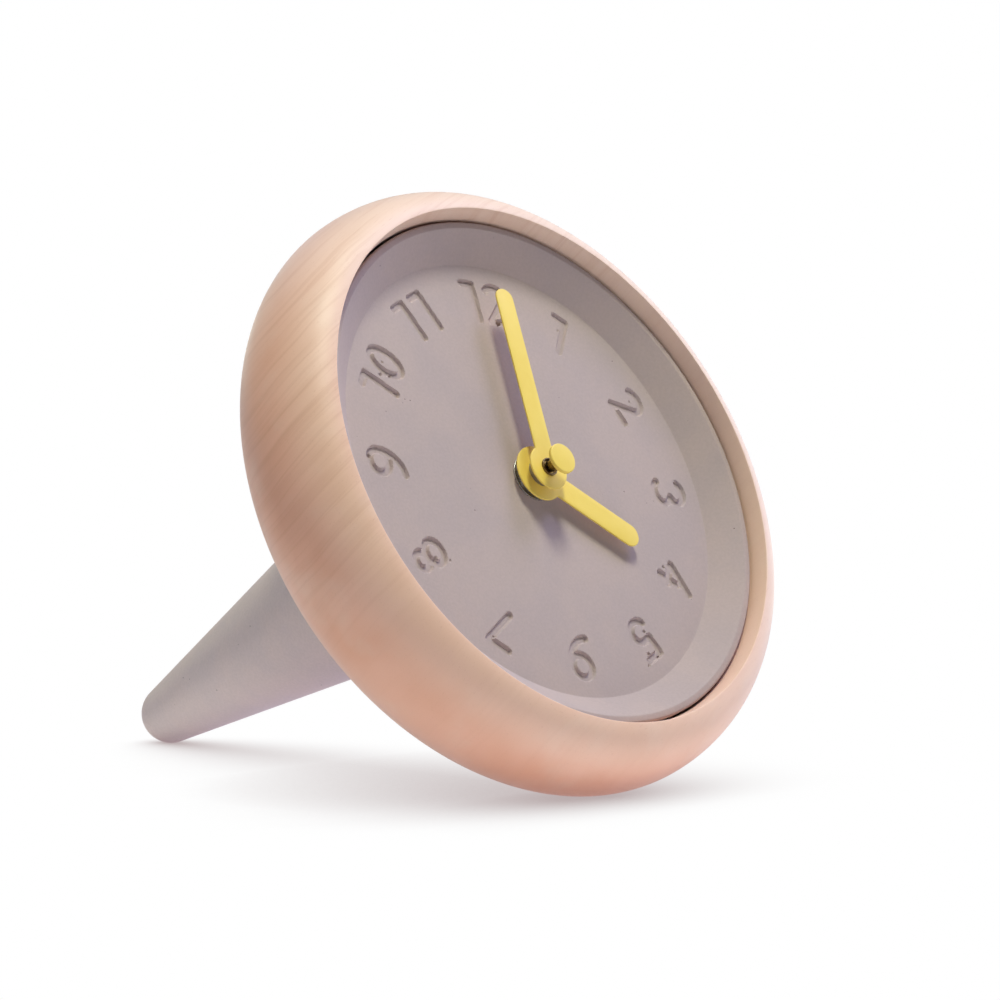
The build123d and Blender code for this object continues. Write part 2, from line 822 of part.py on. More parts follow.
# Hands with their riveted collars
hour_direction = 90 - hour_hand_angle
minute_direction = 90 - minute_hand_angle
with BuildPart() as hour_hand:
    with BuildSketch(level(hour_hand_depth + hand_thickness, turn=hour_direction)):
        SlotCenterPoint(
            ((hour_hand_length - hour_hand_width / 2) / 2, 0),
            (hour_hand_length - hour_hand_width / 2, 0),
            hour_hand_width,
        )
        Circle(hour_hub_radius)
        Circle(hour_collar_radius, mode=Mode.SUBTRACT)
    extrude(amount=hand_thickness)
save(hour_hand, "hour_hand")

hour_collar_back = hour_hand_depth + hand_thickness
with BuildPart() as hour_hand_collar:
    with BuildSketch(level(hour_collar_back)):
        Circle(hour_collar_radius)
    extrude(amount=hand_thickness + hour_collar_front)
    with BuildSketch(level(hour_collar_back + collar_flange_thickness)):
        Circle(hour_collar_radius + collar_flange)
    extrude(amount=collar_flange_thickness)
    with BuildSketch(level(hour_collar_back + collar_flange_thickness)):
        Circle(hour_pipe_radius)
    extrude(
        amount=collar_flange_thickness + hand_thickness + hour_collar_front, mode=Mode.SUBTRACT
    )
save(hour_hand_collar, "hour_hand_collar")

with BuildPart() as minute_hand:
    with BuildSketch(level(minute_hand_depth + hand_thickness, turn=minute_direction)):
        SlotCenterPoint(
            ((minute_hand_length - minute_hand_width / 2) / 2, 0),
            (minute_hand_length - minute_hand_width / 2, 0),
            minute_hand_width,
        )
        Circle(minute_hub_radius)
        Circle(minute_collar_radius, mode=Mode.SUBTRACT)
    extrude(amount=hand_thickness)
save(minute_hand, "minute_hand")

minute_collar_back = minute_hand_depth + hand_thickness
minute_collar_front_depth = minute_hand_depth - minute_collar_front
with BuildPart() as minute_hand_collar:
    with BuildSketch(level(minute_collar_back)):
        Circle(minute_collar_radius)
    extrude(amount=hand_thickness + minute_collar_front)
    with BuildSketch(level(minute_collar_back + collar_flange_thickness)):
        Circle(minute_collar_radius + collar_flange)
    extrude(amount=collar_flange_thickness)
    with BuildSketch(level(minute_collar_back + collar_flange_thickness)):
        Circle(minute_pipe_radius)
    extrude(
        amount=collar_flange_thickness + hand_thickness + minute_collar_front, mode=Mode.SUBTRACT
    )
    with BuildSketch(level(minute_collar_front_depth)):
        Circle(minute_collar_recess_radius)
    extrude(amount=-minute_collar_recess_depth, mode=Mode.SUBTRACT)
save(minute_hand_collar, "minute_hand_collar")

cap_back_depth = cap_thickness - cap_front
with BuildPart() as seconds_cap:
    with BuildSketch(level(cap_back_depth)):
        Circle(cap_radius)
    extrude(amount=cap_thickness)
    fillet(seconds_cap.edges().group_by(SortBy.LENGTH)[-1], cap_round)
    with BuildSketch(level(socket_rear_depth)):
        Circle(socket_radius)
    extrude(amount=socket_rear_depth - cap_back_depth)
    with BuildSketch(level(socket_rear_depth)):
        Circle(seconds_shaft_radius)
    extrude(amount=socket_rear_depth - seconds_shaft_end_depth, mode=Mode.SUBTRACT)
save(seconds_cap, "seconds_cap")

with BuildPart() as setting_knob:
    with BuildSketch(layer(motion_arbor_back, motion_place)):
        Circle(knob_radius)
        with PolarLocations(knob_radius, knob_ridge_count):
            Circle(knob_ridge_depth, mode=Mode.SUBTRACT)
        Circle(arbor_radius, mode=Mode.SUBTRACT)
    extrude(amount=knob_thickness)
save(setting_knob, "setting_knob")

# Stepping motor
stator_back = stator_layer + stator_thickness
with BuildPart() as stator:
    with BuildSketch(layer(stator_back)):
        with Locations(rotor_place):
            Circle(stator_radius)
        with BuildLine() as left_leg:
            Polyline(rotor_place, (stator_left_leg, stator_knee), (stator_left_leg, core_height))
        trace(left_leg.line, stator_leg_width)
        with BuildLine() as right_leg:
            Polyline(rotor_place, (stator_right_leg, stator_knee), (stator_right_leg, core_height))
        trace(right_leg.line, stator_leg_width)
        with Locations(*stator_pads):
            Circle(stator_leg_width / 2)
        with Locations(rotor_place):
            Circle(rotor_magnet_radius + rotor_air_gap, mode=Mode.SUBTRACT)
    extrude(amount=stator_thickness)
save(stator, "stator")

core_length = stator_right_leg - stator_left_leg + stator_leg_width
core_middle = (stator_left_leg + stator_right_leg) / 2
core_layer = stator_back + core_thickness / 2
with BuildPart() as coil_core:
    with BuildSketch(layer(stator_back + core_thickness, (core_middle, core_height))):
        Rectangle(core_length, stator_leg_width)
    extrude(amount=core_thickness)
save(coil_core, "coil_core")

coil_length = stator_right_leg - stator_left_leg - stator_leg_width - 2 * coil_end_gap
coil_start = clock.from_local_coords(
    Vector(core_middle - coil_length / 2, core_height, -inside_depth - core_layer)
)
coil_plane = Plane(origin=coil_start, x_dir=clock.y_dir, z_dir=clock.x_dir)
with BuildPart() as coil_bobbin:
    with BuildSketch(coil_plane):
        Circle(coil_tube_radius)
    extrude(amount=coil_length)
    for start in (0, coil_length - coil_flange_thickness):
        with BuildSketch(coil_plane.offset(start)):
            Circle(coil_flange_radius)
        extrude(amount=coil_flange_thickness)
    with BuildSketch(coil_plane):
        Rectangle(stator_leg_width + core_clearance, core_thickness + core_clearance)
    extrude(amount=coil_length, mode=Mode.SUBTRACT)
save(coil_bobbin, "coil_bobbin")

with BuildPart() as coil_winding:
    with BuildSketch(coil_plane.offset(coil_flange_thickness)):
        Circle(winding_radius)
        Circle(coil_tube_radius, mode=Mode.SUBTRACT)
    extrude(amount=coil_length - 2 * coil_flange_thickness)
save(coil_winding, "coil_winding")

# Circuit board with its chip and the crystal that keeps the time
board_back = middle_plate_back + board_thickness
with BuildPart() as circuit_board:
    with BuildSketch(layer(board_back, board_place)):
        Rectangle(board_width, board_height)
    extrude(amount=board_thickness)
save(circuit_board, "circuit_board")

with BuildPart() as circuit_chip:
    with BuildSketch(layer(board_back + chip_thickness, chip_place)):
        Circle(chip_radius)
    extrude(amount=chip_thickness)
save(circuit_chip, "circuit_chip")

crystal_start = clock.from_local_coords(
    Vector(
        crystal_place[0],
        crystal_place[1] - crystal_length / 2,
        -inside_depth - board_back - crystal_radius,
    )
)
with BuildPart() as quartz_crystal:
    with BuildSketch(Plane(origin=crystal_start, x_dir=clock.x_dir, z_dir=clock.y_dir)):
        Circle(crystal_radius)
    extrude(amount=crystal_length)
save(quartz_crystal, "quartz_crystal")

# Battery with the end contacts
cell_depth = inside_depth + cell_clearance + cell_radius
cell_start = clock.from_local_coords(Vector(-cell_length / 2, cell_height, -cell_depth))
cell_plane = Plane(origin=cell_start, x_dir=clock.y_dir, z_dir=clock.x_dir)
with BuildPart() as battery_cell:
    with BuildSketch(cell_plane):
        Circle(cell_radius)
    extrude(amount=cell_body_length)
    fillet(battery_cell.edges().filter_by(GeomType.CIRCLE), cell_round)
    with BuildSketch(cell_plane.offset(cell_body_length)):
        Circle(cell_nub_radius)
    extrude(amount=cell_nub_length)
save(battery_cell, "battery_cell")


def contact_corners(side):
    """Corners of a folded strip between the pocket's end wall and the cell's end."""
    wall = chamber_half
    touch = cell_length / 2 + contact_gap
    front = -inside_depth - cell_clearance
    back = front - contact_leg_length
    return [
        (side * wall, front),
        (side * wall, back),
        (side * (wall - contact_thickness), back),
        (side * (wall - contact_thickness), front - contact_thickness),
        (side * (touch + contact_thickness), front - contact_thickness),
        (side * (touch + contact_thickness), back),
        (side * touch, back),
        (side * touch, front),
    ]


contact_start = clock.from_local_coords(Vector(0, cell_height + contact_width / 2, 0))
contact_plane = Plane(origin=contact_start, x_dir=clock.x_dir, z_dir=-clock.y_dir)
with BuildPart() as positive_contact:
    with BuildSketch(contact_plane):
        with BuildLine():
            Polyline(*contact_corners(1), close=True)
        make_face()
    extrude(amount=contact_width)
save(positive_contact, "positive_contact")

with BuildPart() as negative_contact:
    with BuildSketch(contact_plane):
        with BuildLine():
            Polyline(*contact_corners(-1), close=True)
        make_face()
    extrude(amount=contact_width)
save(negative_contact, "negative_contact")

print("mouth centre", clock.origin, "facing", clock.z_dir, "three o'clock", clock.x_dir)
print("twelve o'clock", clock.y_dir, "tip depth", tip_depth)
for name, place in (
    ("third", third_place),
    ("motion", motion_place),
    ("intermediate", intermediate_place),
    ("rotor", rotor_place),
):
    print(name, "arbor", level(0, place).origin)
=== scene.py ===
"""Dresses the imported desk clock: a turned wood ring, a cast concrete dial and cone, yellow hands.

Lengths in the classes are millimetres in the clock's own frame: across the dial to the right, up the
dial towards twelve, and depth behind the ring's front mouth. ClockFrame turns them into metres in the
shared frame.
"""
import json
import logging
import math
from dataclasses import dataclass, field
from enum import Enum
from typing import Any, Sequence

import bmesh
import bpy
import numpy as np
from mathutils import Matrix, Vector


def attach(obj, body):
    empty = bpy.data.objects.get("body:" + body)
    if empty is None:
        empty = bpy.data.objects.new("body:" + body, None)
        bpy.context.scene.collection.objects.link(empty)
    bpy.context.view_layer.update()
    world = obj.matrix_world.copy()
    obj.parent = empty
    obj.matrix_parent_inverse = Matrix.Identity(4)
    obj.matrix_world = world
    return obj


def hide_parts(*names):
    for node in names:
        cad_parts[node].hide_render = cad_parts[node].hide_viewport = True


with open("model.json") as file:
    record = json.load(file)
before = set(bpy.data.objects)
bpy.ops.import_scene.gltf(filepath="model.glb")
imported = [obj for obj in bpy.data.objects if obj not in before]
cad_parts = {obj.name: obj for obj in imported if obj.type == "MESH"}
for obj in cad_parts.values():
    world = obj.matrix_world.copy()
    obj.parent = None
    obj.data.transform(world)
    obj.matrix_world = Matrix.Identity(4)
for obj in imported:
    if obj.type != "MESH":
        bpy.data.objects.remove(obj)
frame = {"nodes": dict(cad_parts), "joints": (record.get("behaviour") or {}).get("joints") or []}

Array = np.ndarray
Material = bpy.types.Material
Mesh = bpy.types.Mesh
Node = bpy.types.Node
NodeTree = bpy.types.NodeTree
Object = bpy.types.Object
Socket = bpy.types.NodeSocket
Section = Sequence[Sequence[float]]
MM = 0.001
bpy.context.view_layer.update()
WELD = 1e-7
SHORTEST_EDGE = 1e-8
LEAST_SQUARE = 1e-12
WHITE = "#FFFFFF"
NOISE = {"Detail": 2.0, "Roughness": 0.55}
SMOOTH = {"interpolation_type": "SMOOTHSTEP"}
COLOURS = {"data_type": "RGBA"}
SHARE, UNDER, OVER, MIXED = 0, 6, 7, 2
log = logging.getLogger("desk_clock")


class Body(str, Enum):
    """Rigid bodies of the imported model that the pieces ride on."""

    CONE = "cone"
    HEAD = "clock_head"
    MINUTE = "minute_group"
    HOUR = "hour_group"
    SECONDS = "seconds_group"


class Slot(str, Enum):
    """Material slots of the record."""

    WOOD = "turned_wood"
    CONCRETE = "cast_concrete"
    YELLOW = "yellow_paint"
    BRASS = "turned_brass"
    STEEL = "nickel_steel"
    COLLAR = "grey_collar"


class Kind(str, Enum):
    """Kinds of shader node, by their type names."""

    PLACE = "ShaderNodeTexCoord"
    NOISE = "ShaderNodeTexNoise"
    CELLS = "ShaderNodeTexVoronoi"
    RANGE = "ShaderNodeMapRange"
    MATH = "ShaderNodeMath"
    VECTOR = "ShaderNodeVectorMath"
    COMBINE = "ShaderNodeCombineXYZ"
    SEPARATE = "ShaderNodeSeparateXYZ"
    MIX = "ShaderNodeMix"
    BUMP = "ShaderNodeBump"
    RAYS = "ShaderNodeLightPath"
    OPEN_SKY = "ShaderNodeAmbientOcclusion"
    DIFFUSE = "ShaderNodeBsdfDiffuse"
    EMISSION = "ShaderNodeEmission"
    ADD_LIGHT = "ShaderNodeAddShader"
    MIX_LIGHT = "ShaderNodeMixShader"
    BACKGROUND = "ShaderNodeBackground"
    MATERIAL = "ShaderNodeOutputMaterial"
    WORLD = "ShaderNodeOutputWorld"


def linear(hex_colour: str) -> tuple[float, float, float, float]:
    """Turn an sRGB hex colour into the linear RGBA that shaders take.

    Args:
        hex_colour: Six hex digits, with or without a leading hash.

    Returns:
        Linear red, green and blue, and an alpha of 1.
    """
    digits = hex_colour.lstrip("#")
    channels = np.array([int(digits[i : i + 2], 16) / 255 for i in (0, 2, 4)])
    low = channels / 12.92
    high = ((channels + 0.055) / 1.055) ** 2.4
    red, green, blue = np.where(channels <= 0.04045, low, high)
    return (float(red), float(green), float(blue), 1.0)


def add_node(
    tree: NodeTree,
    kind: Kind,
    settings: dict[str, Any] | None = None,
    inputs: dict[str | int, Any] | None = None,
) -> Node:
    """Add a shader node with its settings, socket values and links.

    Args:
        tree: The node tree to add to.
        kind: The node's kind.
        settings: Properties to set on the node.
        inputs: Socket values by name or index; a value that is a socket is linked.

    Returns:
        The new node.
    """
    node = tree.nodes.new(kind.value)
    for name, value in (settings or {}).items():
        setattr(node, name, value)
    for key, value in (inputs or {}).items():
        socket = node.inputs[key]
        if isinstance(value, Socket):
            tree.links.new(value, socket)
        else:
            socket.default_value = value
    return node


@dataclass(frozen=True)
class ClockFrame:
    """The clock's own frame in the shared one.

    Attributes:
        mouth: Centre of the ring's front mouth, in metres.
        right: Unit vector towards three o'clock.
        up: Unit vector towards twelve o'clock.
        front: Unit vector out of the dial.
    """

    mouth: Array
    right: Array
    up: Array
    front: Array

    @classmethod
    def from_joints(cls, joints: Sequence[dict[str, Any]], roll: float, arbor_depth: float) -> "ClockFrame":
        """Work the frame out from the minute hand's joint.

        Args:
            joints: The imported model's joints.
            roll: How far twelve o'clock is turned clockwise from straight up, in degrees.
            arbor_depth: Depth of the joint's point behind the ring's mouth, in millimetres.

        Returns:
            The clock's frame.
        """
        minute = next(joint for joint in joints if joint["name"] == "minute_turn")
        front = -np.array(minute["axis"], float)
        front /= np.linalg.norm(front)
        level = np.array([1.0, 0.0, 0.0])
        steep = np.cross(front, level)
        angle = math.radians(roll)
        right = math.cos(angle) * level - math.sin(angle) * steep
        up = np.cross(front, right)
        mouth = np.array(minute["pos_m"], float) + arbor_depth * MM * front
        return cls(mouth, right, up, front)

    def place(self, across: Array | float, high: Array | float, depth: Array | float) -> Array:
        """Turn places in the clock's own frame into points of the shared one.

        Args:
            across: Millimetres to the right of the axis.
            high: Millimetres towards twelve.
            depth: Millimetres behind the ring's mouth.

        Returns:
            The points in metres, with x, y and z along a last axis.
        """
        across, high, depth = np.broadcast_arrays(across, high, depth)
        return (
            self.mouth
            + MM * across[..., None] * self.right
            + MM * high[..., None] * self.up
            - MM * depth[..., None] * self.front
        )


def surface(name: str, grid: Array, wrap_rows: bool) -> Object:
    """Make an object from a grid of points, with seams and poles closed and faces outwards.

    The last column joins the first.

    Args:
        name: The object's name.
        grid: Points in metres, as rows by columns by 3.
        wrap_rows: Whether the last row joins the first.

    Returns:
        The new object, at the origin and unturned.
    """
    rows, columns = grid.shape[:2]
    row = np.arange(rows if wrap_rows else rows - 1)[:, None]
    column = np.arange(columns)[None, :]
    next_row, next_column = (row + 1) % rows, (column + 1) % columns
    corners = (
        row * columns + column,
        row * columns + next_column,
        next_row * columns + next_column,
        next_row * columns + column,
    )
    quads = np.stack(corners, axis=-1).reshape(-1, 4)
    mesh = bpy.data.meshes.new(name)
    mesh.from_pydata(grid.reshape(-1, 3).tolist(), [], quads.tolist())
    return closed_object(name, mesh)


def closed_object(name: str, mesh: Mesh, sharp_angle: float = 32.0) -> Object:
    """Weld a mesh, turn its faces outwards, shade it smooth and put it in the scene.

    Args:
        name: The object's name.
        mesh: The mesh to finish.
        sharp_angle: Edges that turn by more than this many degrees stay sharp.

    Returns:
        The new object.
    """
    work = bmesh.new()
    work.from_mesh(mesh)
    bmesh.ops.remove_doubles(work, verts=work.verts, dist=WELD)
    bmesh.ops.dissolve_degenerate(work, edges=work.edges, dist=SHORTEST_EDGE)
    bmesh.ops.recalc_face_normals(work, faces=work.faces)
    work.to_mesh(mesh)
    work.free()
    mesh.polygons.foreach_set("use_smooth", np.ones(len(mesh.polygons), bool))
    mesh.set_sharp_from_angle(angle=math.radians(sharp_angle))
    piece = bpy.data.objects.new(name, mesh)
    bpy.context.scene.collection.objects.link(piece)
    return piece


def round_corners(corners: Section, closed: bool, steps: int = 4) -> Array:
    """Round the corners of an outline with arcs.

    Each corner with a radius is replaced by an arc tangent to its two sides: the arc starts at the
    radius times the tangent of half the turn before the corner and ends as far behind it.

    Args:
        corners: Points as (x, y, radius); a radius of 0 keeps the corner sharp.
        closed: Whether the last corner joins the first.
        steps: Points on each arc, less one.

    Returns:
        The outline's points, as an array of pairs.
    """
    points = np.array([corner[:2] for corner in corners], float)
    outline = []
    for index, (x, y, radius) in enumerate(corners):
        corner = np.array([x, y], float)
        ends = not closed and index in (0, len(corners) - 1)
        if radius <= 0 or ends:
            outline.append(corner[None])
            continue
        back = points[index - 1] - corner
        ahead = points[(index + 1) % len(points)] - corner
        back /= np.linalg.norm(back)
        ahead /= np.linalg.norm(ahead)
        half = math.acos(float(np.clip(back @ ahead, -1, 1))) / 2
        reach = radius / math.tan(half)
        middle = corner + (back + ahead) / np.linalg.norm(back + ahead) * radius / math.sin(half)
        start, end = corner + back * reach - middle, corner + ahead * reach - middle
        first = math.atan2(start[1], start[0])
        turn = math.remainder(math.atan2(end[1], end[0]) - first, math.tau)
        angles = first + turn * np.linspace(0, 1, steps + 1)
        outline.append(middle + radius * np.stack([np.cos(angles), np.sin(angles)], axis=-1))
    return np.concatenate(outline)


def lathe(name: str, clock: ClockFrame, profile: Array, columns: int, closed: bool = True) -> Object:
    """Turn a profile about the clock's axis.

    A point of the profile at radius r and depth d gives the circle (r cos a, r sin a) at that depth.

    Args:
        name: The object's name.
        clock: The clock's frame.
        profile: Points as (radius, depth) in millimetres.
        columns: Points on each circle.
        closed: Whether the profile is a loop; otherwise both its ends lie on the axis.

    Returns:
        The turned object.
    """
    angle = np.linspace(0, math.tau, columns, endpoint=False)
    radius, depth = profile[:, 0, None], profile[:, 1, None]
    grid = clock.place(radius * np.cos(angle), radius * np.sin(angle), depth)
    return surface(name, grid, wrap_rows=closed)


def seat(piece: Object, body: Body, nodes: Sequence[str], skin: Material) -> None:
    """Give a finished piece its material, and let it ride on its body in place of its nodes.

    Args:
        piece: The finished piece.
        body: The body that it rides on.
        nodes: The nodes that it stands for.
        skin: Its material.
    """
    piece.data.materials.clear()
    piece.data.materials.append(skin)
    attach(piece, body.value)
    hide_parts(*nodes)
    log.info("%s: %d faces, rides on %s", piece.name, len(piece.data.polygons), body.value)


@dataclass(frozen=True)
class Stain:
    """A colour laid over another where a pattern is strong.

    Its share climbs smoothly from 0 to its most while the pattern climbs from start to full.

    Attributes:
        colour: The colour on top, as sRGB hex.
        start: Strength of the pattern at which the colour begins to show.
        full: Strength at which it shows most.
        share: Its share there.
    """

    colour: str
    start: float
    full: float
    share: float

    def lay(self, tree: NodeTree, pattern: Socket, under: Any, share: Socket | None = None) -> Socket:
        """Lay the colour over another one.

        Args:
            tree: The node tree.
            pattern: The pattern's strength.
            under: The colour below, as linear RGBA or as a socket.
            share: The greatest share, where it changes from place to place.

        Returns:
            The stained colour.
        """
        most = self.share if share is None else share
        limits = {"Value": pattern, "From Min": self.start, "From Max": self.full, "To Max": most}
        amount = add_node(tree, Kind.RANGE, SMOOTH, limits).outputs["Result"]
        colours = {SHARE: amount, UNDER: under, OVER: linear(self.colour)}
        return add_node(tree, Kind.MIX, COLOURS, colours).outputs[MIXED]


@dataclass(frozen=True)
class Finish:
    """What every finish starts from: a principled shader whose pattern follows Object coordinates.

    Attributes:
        name: The material's name.
        colour: Main colour as sRGB hex.
        roughness: Roughness of the bare surface.
    """

    name: str
    colour: str
    roughness: float

    def start(self) -> tuple[Material, NodeTree, Node, Socket]:
        """Start the material with its plain colour and roughness.

        Returns:
            The material, its tree, its shader and the piece's coordinates in millimetres.
        """
        material = bpy.data.materials.new(self.name)
        material.use_nodes = True
        tree = material.node_tree
        shader = tree.nodes["Principled BSDF"]
        shader.inputs["Base Color"].default_value = linear(self.colour)
        shader.inputs["Roughness"].default_value = self.roughness
        place = add_node(tree, Kind.PLACE).outputs["Object"]
        scale = {"Vector": place, "Scale": 1 / MM}
        scaled = add_node(tree, Kind.VECTOR, {"operation": "SCALE"}, scale)
        return material, tree, shader, scaled.outputs["Vector"]

    def cover(self, tree: NodeTree, shader: Node, colour: Socket, height: Socket, relief: float) -> None:
        """Give the shader its colour and its relief.

        Args:
            tree: The node tree.
            shader: The principled shader.
            colour: The surface's colour.
            height: Height of the relief, from 0 to 1.
            relief: How many millimetres a height of 1 stands for.
        """
        bump = {"Height": height, "Distance": relief * MM, "Strength": 1.0}
        normal = add_node(tree, Kind.BUMP, None, bump).outputs["Normal"]
        tree.links.new(colour, shader.inputs["Base Color"])
        tree.links.new(normal, shader.inputs["Normal"])


@dataclass(frozen=True)
class TurnedMaple(Finish):
    """Pale hard maple, turned, sanded fine and oiled: satin, with fine slanting growth lines.

    The growth layers are planes that lean across the ring, so their edges show as thin slanting lines
    on its flanks, and they fade towards the side that grew slowly. Painted sheen: towards the upper
    right the colour turns greyer and less red, for the whitish veil of light on the top and right.
    Painted highlight: the front of the ring next to its mouth is paler, for the broad highlight on the
    crown. Short dark flecks follow the fibres.

    Attributes:
        line_width: Width of a thin growth line, in millimetres like all lengths here.
        band_width: Width of a broad growth band.
        layer_length: Length over which a line or band stays even.
        layer_lean: How far the layers lean out of the dial's direction, in degrees.
        layer_turn: How far the layers are turned about the clock's axis, in degrees.
        patch_size: Size of the warm patches.
        slow_growth: Heights across the layers between which the lines come up.
        slow_share: Share of the lines that is left where it grew slowly.
        bark_turn: Direction of the painted sheen, in degrees clockwise from twelve.
    """

    name: str = "turned_maple"
    colour: str = "#ECB59D"
    roughness: float = 0.52
    warm: Stain = Stain("#DD9B7A", start=0.35, full=0.68, share=0.5)
    pale: Stain = Stain("#EBCEBE", start=0.48, full=0.75, share=0.3)
    # Painted sheen: a greyer, less red colour laid on towards the upper right, for the whitish veil of light
    # on the ring's top and right.
    bark: Stain = Stain("#C3B3A7", start=-50.0, full=85.0, share=0.75)
    # Painted highlight: a paler colour over the front of the ring next to its mouth, where the crown catches
    # light.
    lip: Stain = Stain("#FADBC6", start=-15.0, full=0.0, share=0.5)
    band: Stain = Stain("#BD7C56", start=0.42, full=0.72, share=0.13)
    line: Stain = Stain("#BD7C56", start=0.48, full=0.68, share=0.15)
    fleck: Stain = Stain("#BD7C56", start=0.6, full=0.78, share=0.22)
    line_width: float = 1.0
    band_width: float = 2.8
    layer_length: float = 45.0
    layer_lean: float = -11.0
    layer_turn: float = -35.0
    fleck_width: float = 0.3
    fleck_length: float = 5.0
    patch_size: float = 24.0
    slow_growth: tuple[float, float] = (-5.0, 40.0)
    slow_share: float = 0.2
    bark_turn: float = 37.0
    sheen: float = 0.35
    sheen_roughness: float = 0.4
    oil: float = 0.3
    oil_roughness: float = 0.6
    relief: float = 0.01

    def build(self, clock: ClockFrame) -> Material:
        """Make the material: stains laid over one another by clouds, growth layers and flecks.

        Args:
            clock: The clock's frame, whose mouth the pattern is centred on.

        Returns:
            The finished material.
        """
        material, tree, shader, place = self.start()
        middle = {0: place, 1: tuple(clock.mouth / MM)}
        place = add_node(tree, Kind.VECTOR, {"operation": "SUBTRACT"}, middle).outputs["Vector"]
        along, height, width, towards_painted_sheen, ahead = (
            add_node(
                tree, Kind.VECTOR, {"operation": "DOT_PRODUCT"}, {0: place, 1: tuple(axis)}
            ).outputs["Value"]
            for axis in self.directions(clock)
        )
        sizes = ((2.0 * self.patch_size, 2.0), (self.patch_size, 2.0), (0.6 * self.patch_size, 3.0))
        noises = [{**NOISE, "Vector": place, "Scale": 1 / size, "Detail": detail} for size, detail in sizes]
        sway, patches, clouds = (add_node(tree, Kind.NOISE, None, noise).outputs["Fac"] for noise in noises)
        swayed = {0: sway, 1: 2.0 * self.band_width, 2: height}
        bent = add_node(tree, Kind.MATH, {"operation": "MULTIPLY_ADD"}, swayed).outputs["Value"]
        lines, bands = (
            self.stretched(tree, (along, bent, width), (self.layer_length, thickness, self.layer_length))
            for thickness in (self.line_width, self.band_width)
        )
        fleck_sizes = (self.fleck_length, self.fleck_width, self.fleck_width)
        flecks = self.stretched(tree, (along, height, width), fleck_sizes)
        colour = linear(self.colour)
        # The last two are painted light: painted sheen towards the upper right and a painted highlight by the
        # mouth.
        tones = ((self.warm, patches), (self.pale, clouds), (self.bark, towards_painted_sheen), (self.lip, ahead))
        for stain, pattern in tones:
            colour = stain.lay(tree, pattern, colour)
        slow, quick = self.slow_growth
        for stain, pattern in ((self.band, bands), (self.line, lines)):
            growth = {"Value": height, "From Min": slow, "From Max": quick}
            shares = {"To Min": self.slow_share * stain.share, "To Max": stain.share}
            share = add_node(tree, Kind.RANGE, SMOOTH, {**growth, **shares}).outputs["Result"]
            colour = stain.lay(tree, pattern, colour, share)
        self.cover(tree, shader, self.fleck.lay(tree, flecks, colour), flecks, self.relief)
        shader.inputs["Sheen Weight"].default_value = self.sheen
        shader.inputs["Sheen Roughness"].default_value = self.sheen_roughness
        shader.inputs["Coat Weight"].default_value = self.oil
        shader.inputs["Coat Roughness"].default_value = self.oil_roughness
        return material

    def directions(self, clock: ClockFrame) -> tuple[Array, ...]:
        """Work out the directions that the wood's patterns follow.

        Args:
            clock: The clock's frame.

        Returns:
            Unit vectors along the fibres, out of the layers, across both, to the painted sheen and to the
            front.
        """
        lean, turn, bark = np.radians((self.layer_lean, self.layer_turn, self.bark_turn))
        fibre = np.cos(turn) * clock.right - np.sin(turn) * clock.up
        upright = np.cos(turn) * clock.up + np.sin(turn) * clock.right
        layers = np.cos(lean) * upright + np.sin(lean) * clock.front
        towards_painted_sheen = np.cos(bark) * clock.up + np.sin(bark) * clock.right
        return fibre, layers, np.cross(layers, fibre), towards_painted_sheen, clock.front

    def stretched(self, tree: NodeTree, place: Sequence[Socket], sizes: Sequence[float]) -> Socket:
        """Add noise whose blotches have their own length along each of three directions.

        Args:
            tree: The node tree.
            place: Distances along the three directions, in millimetres.
            sizes: Length of a blotch along each of them.

        Returns:
            The noise, from 0 to 1.
        """
        parts = {
            axis: add_node(tree, Kind.MATH, {"operation": "DIVIDE"}, {0: value, 1: size}).outputs["Value"]
            for axis, value, size in zip("XYZ", place, sizes)
        }
        drawn = add_node(tree, Kind.COMBINE, None, parts).outputs["Vector"]
        blotches = {**NOISE, "Vector": drawn, "Scale": 1.0}
        return add_node(tree, Kind.NOISE, None, blotches).outputs["Fac"]


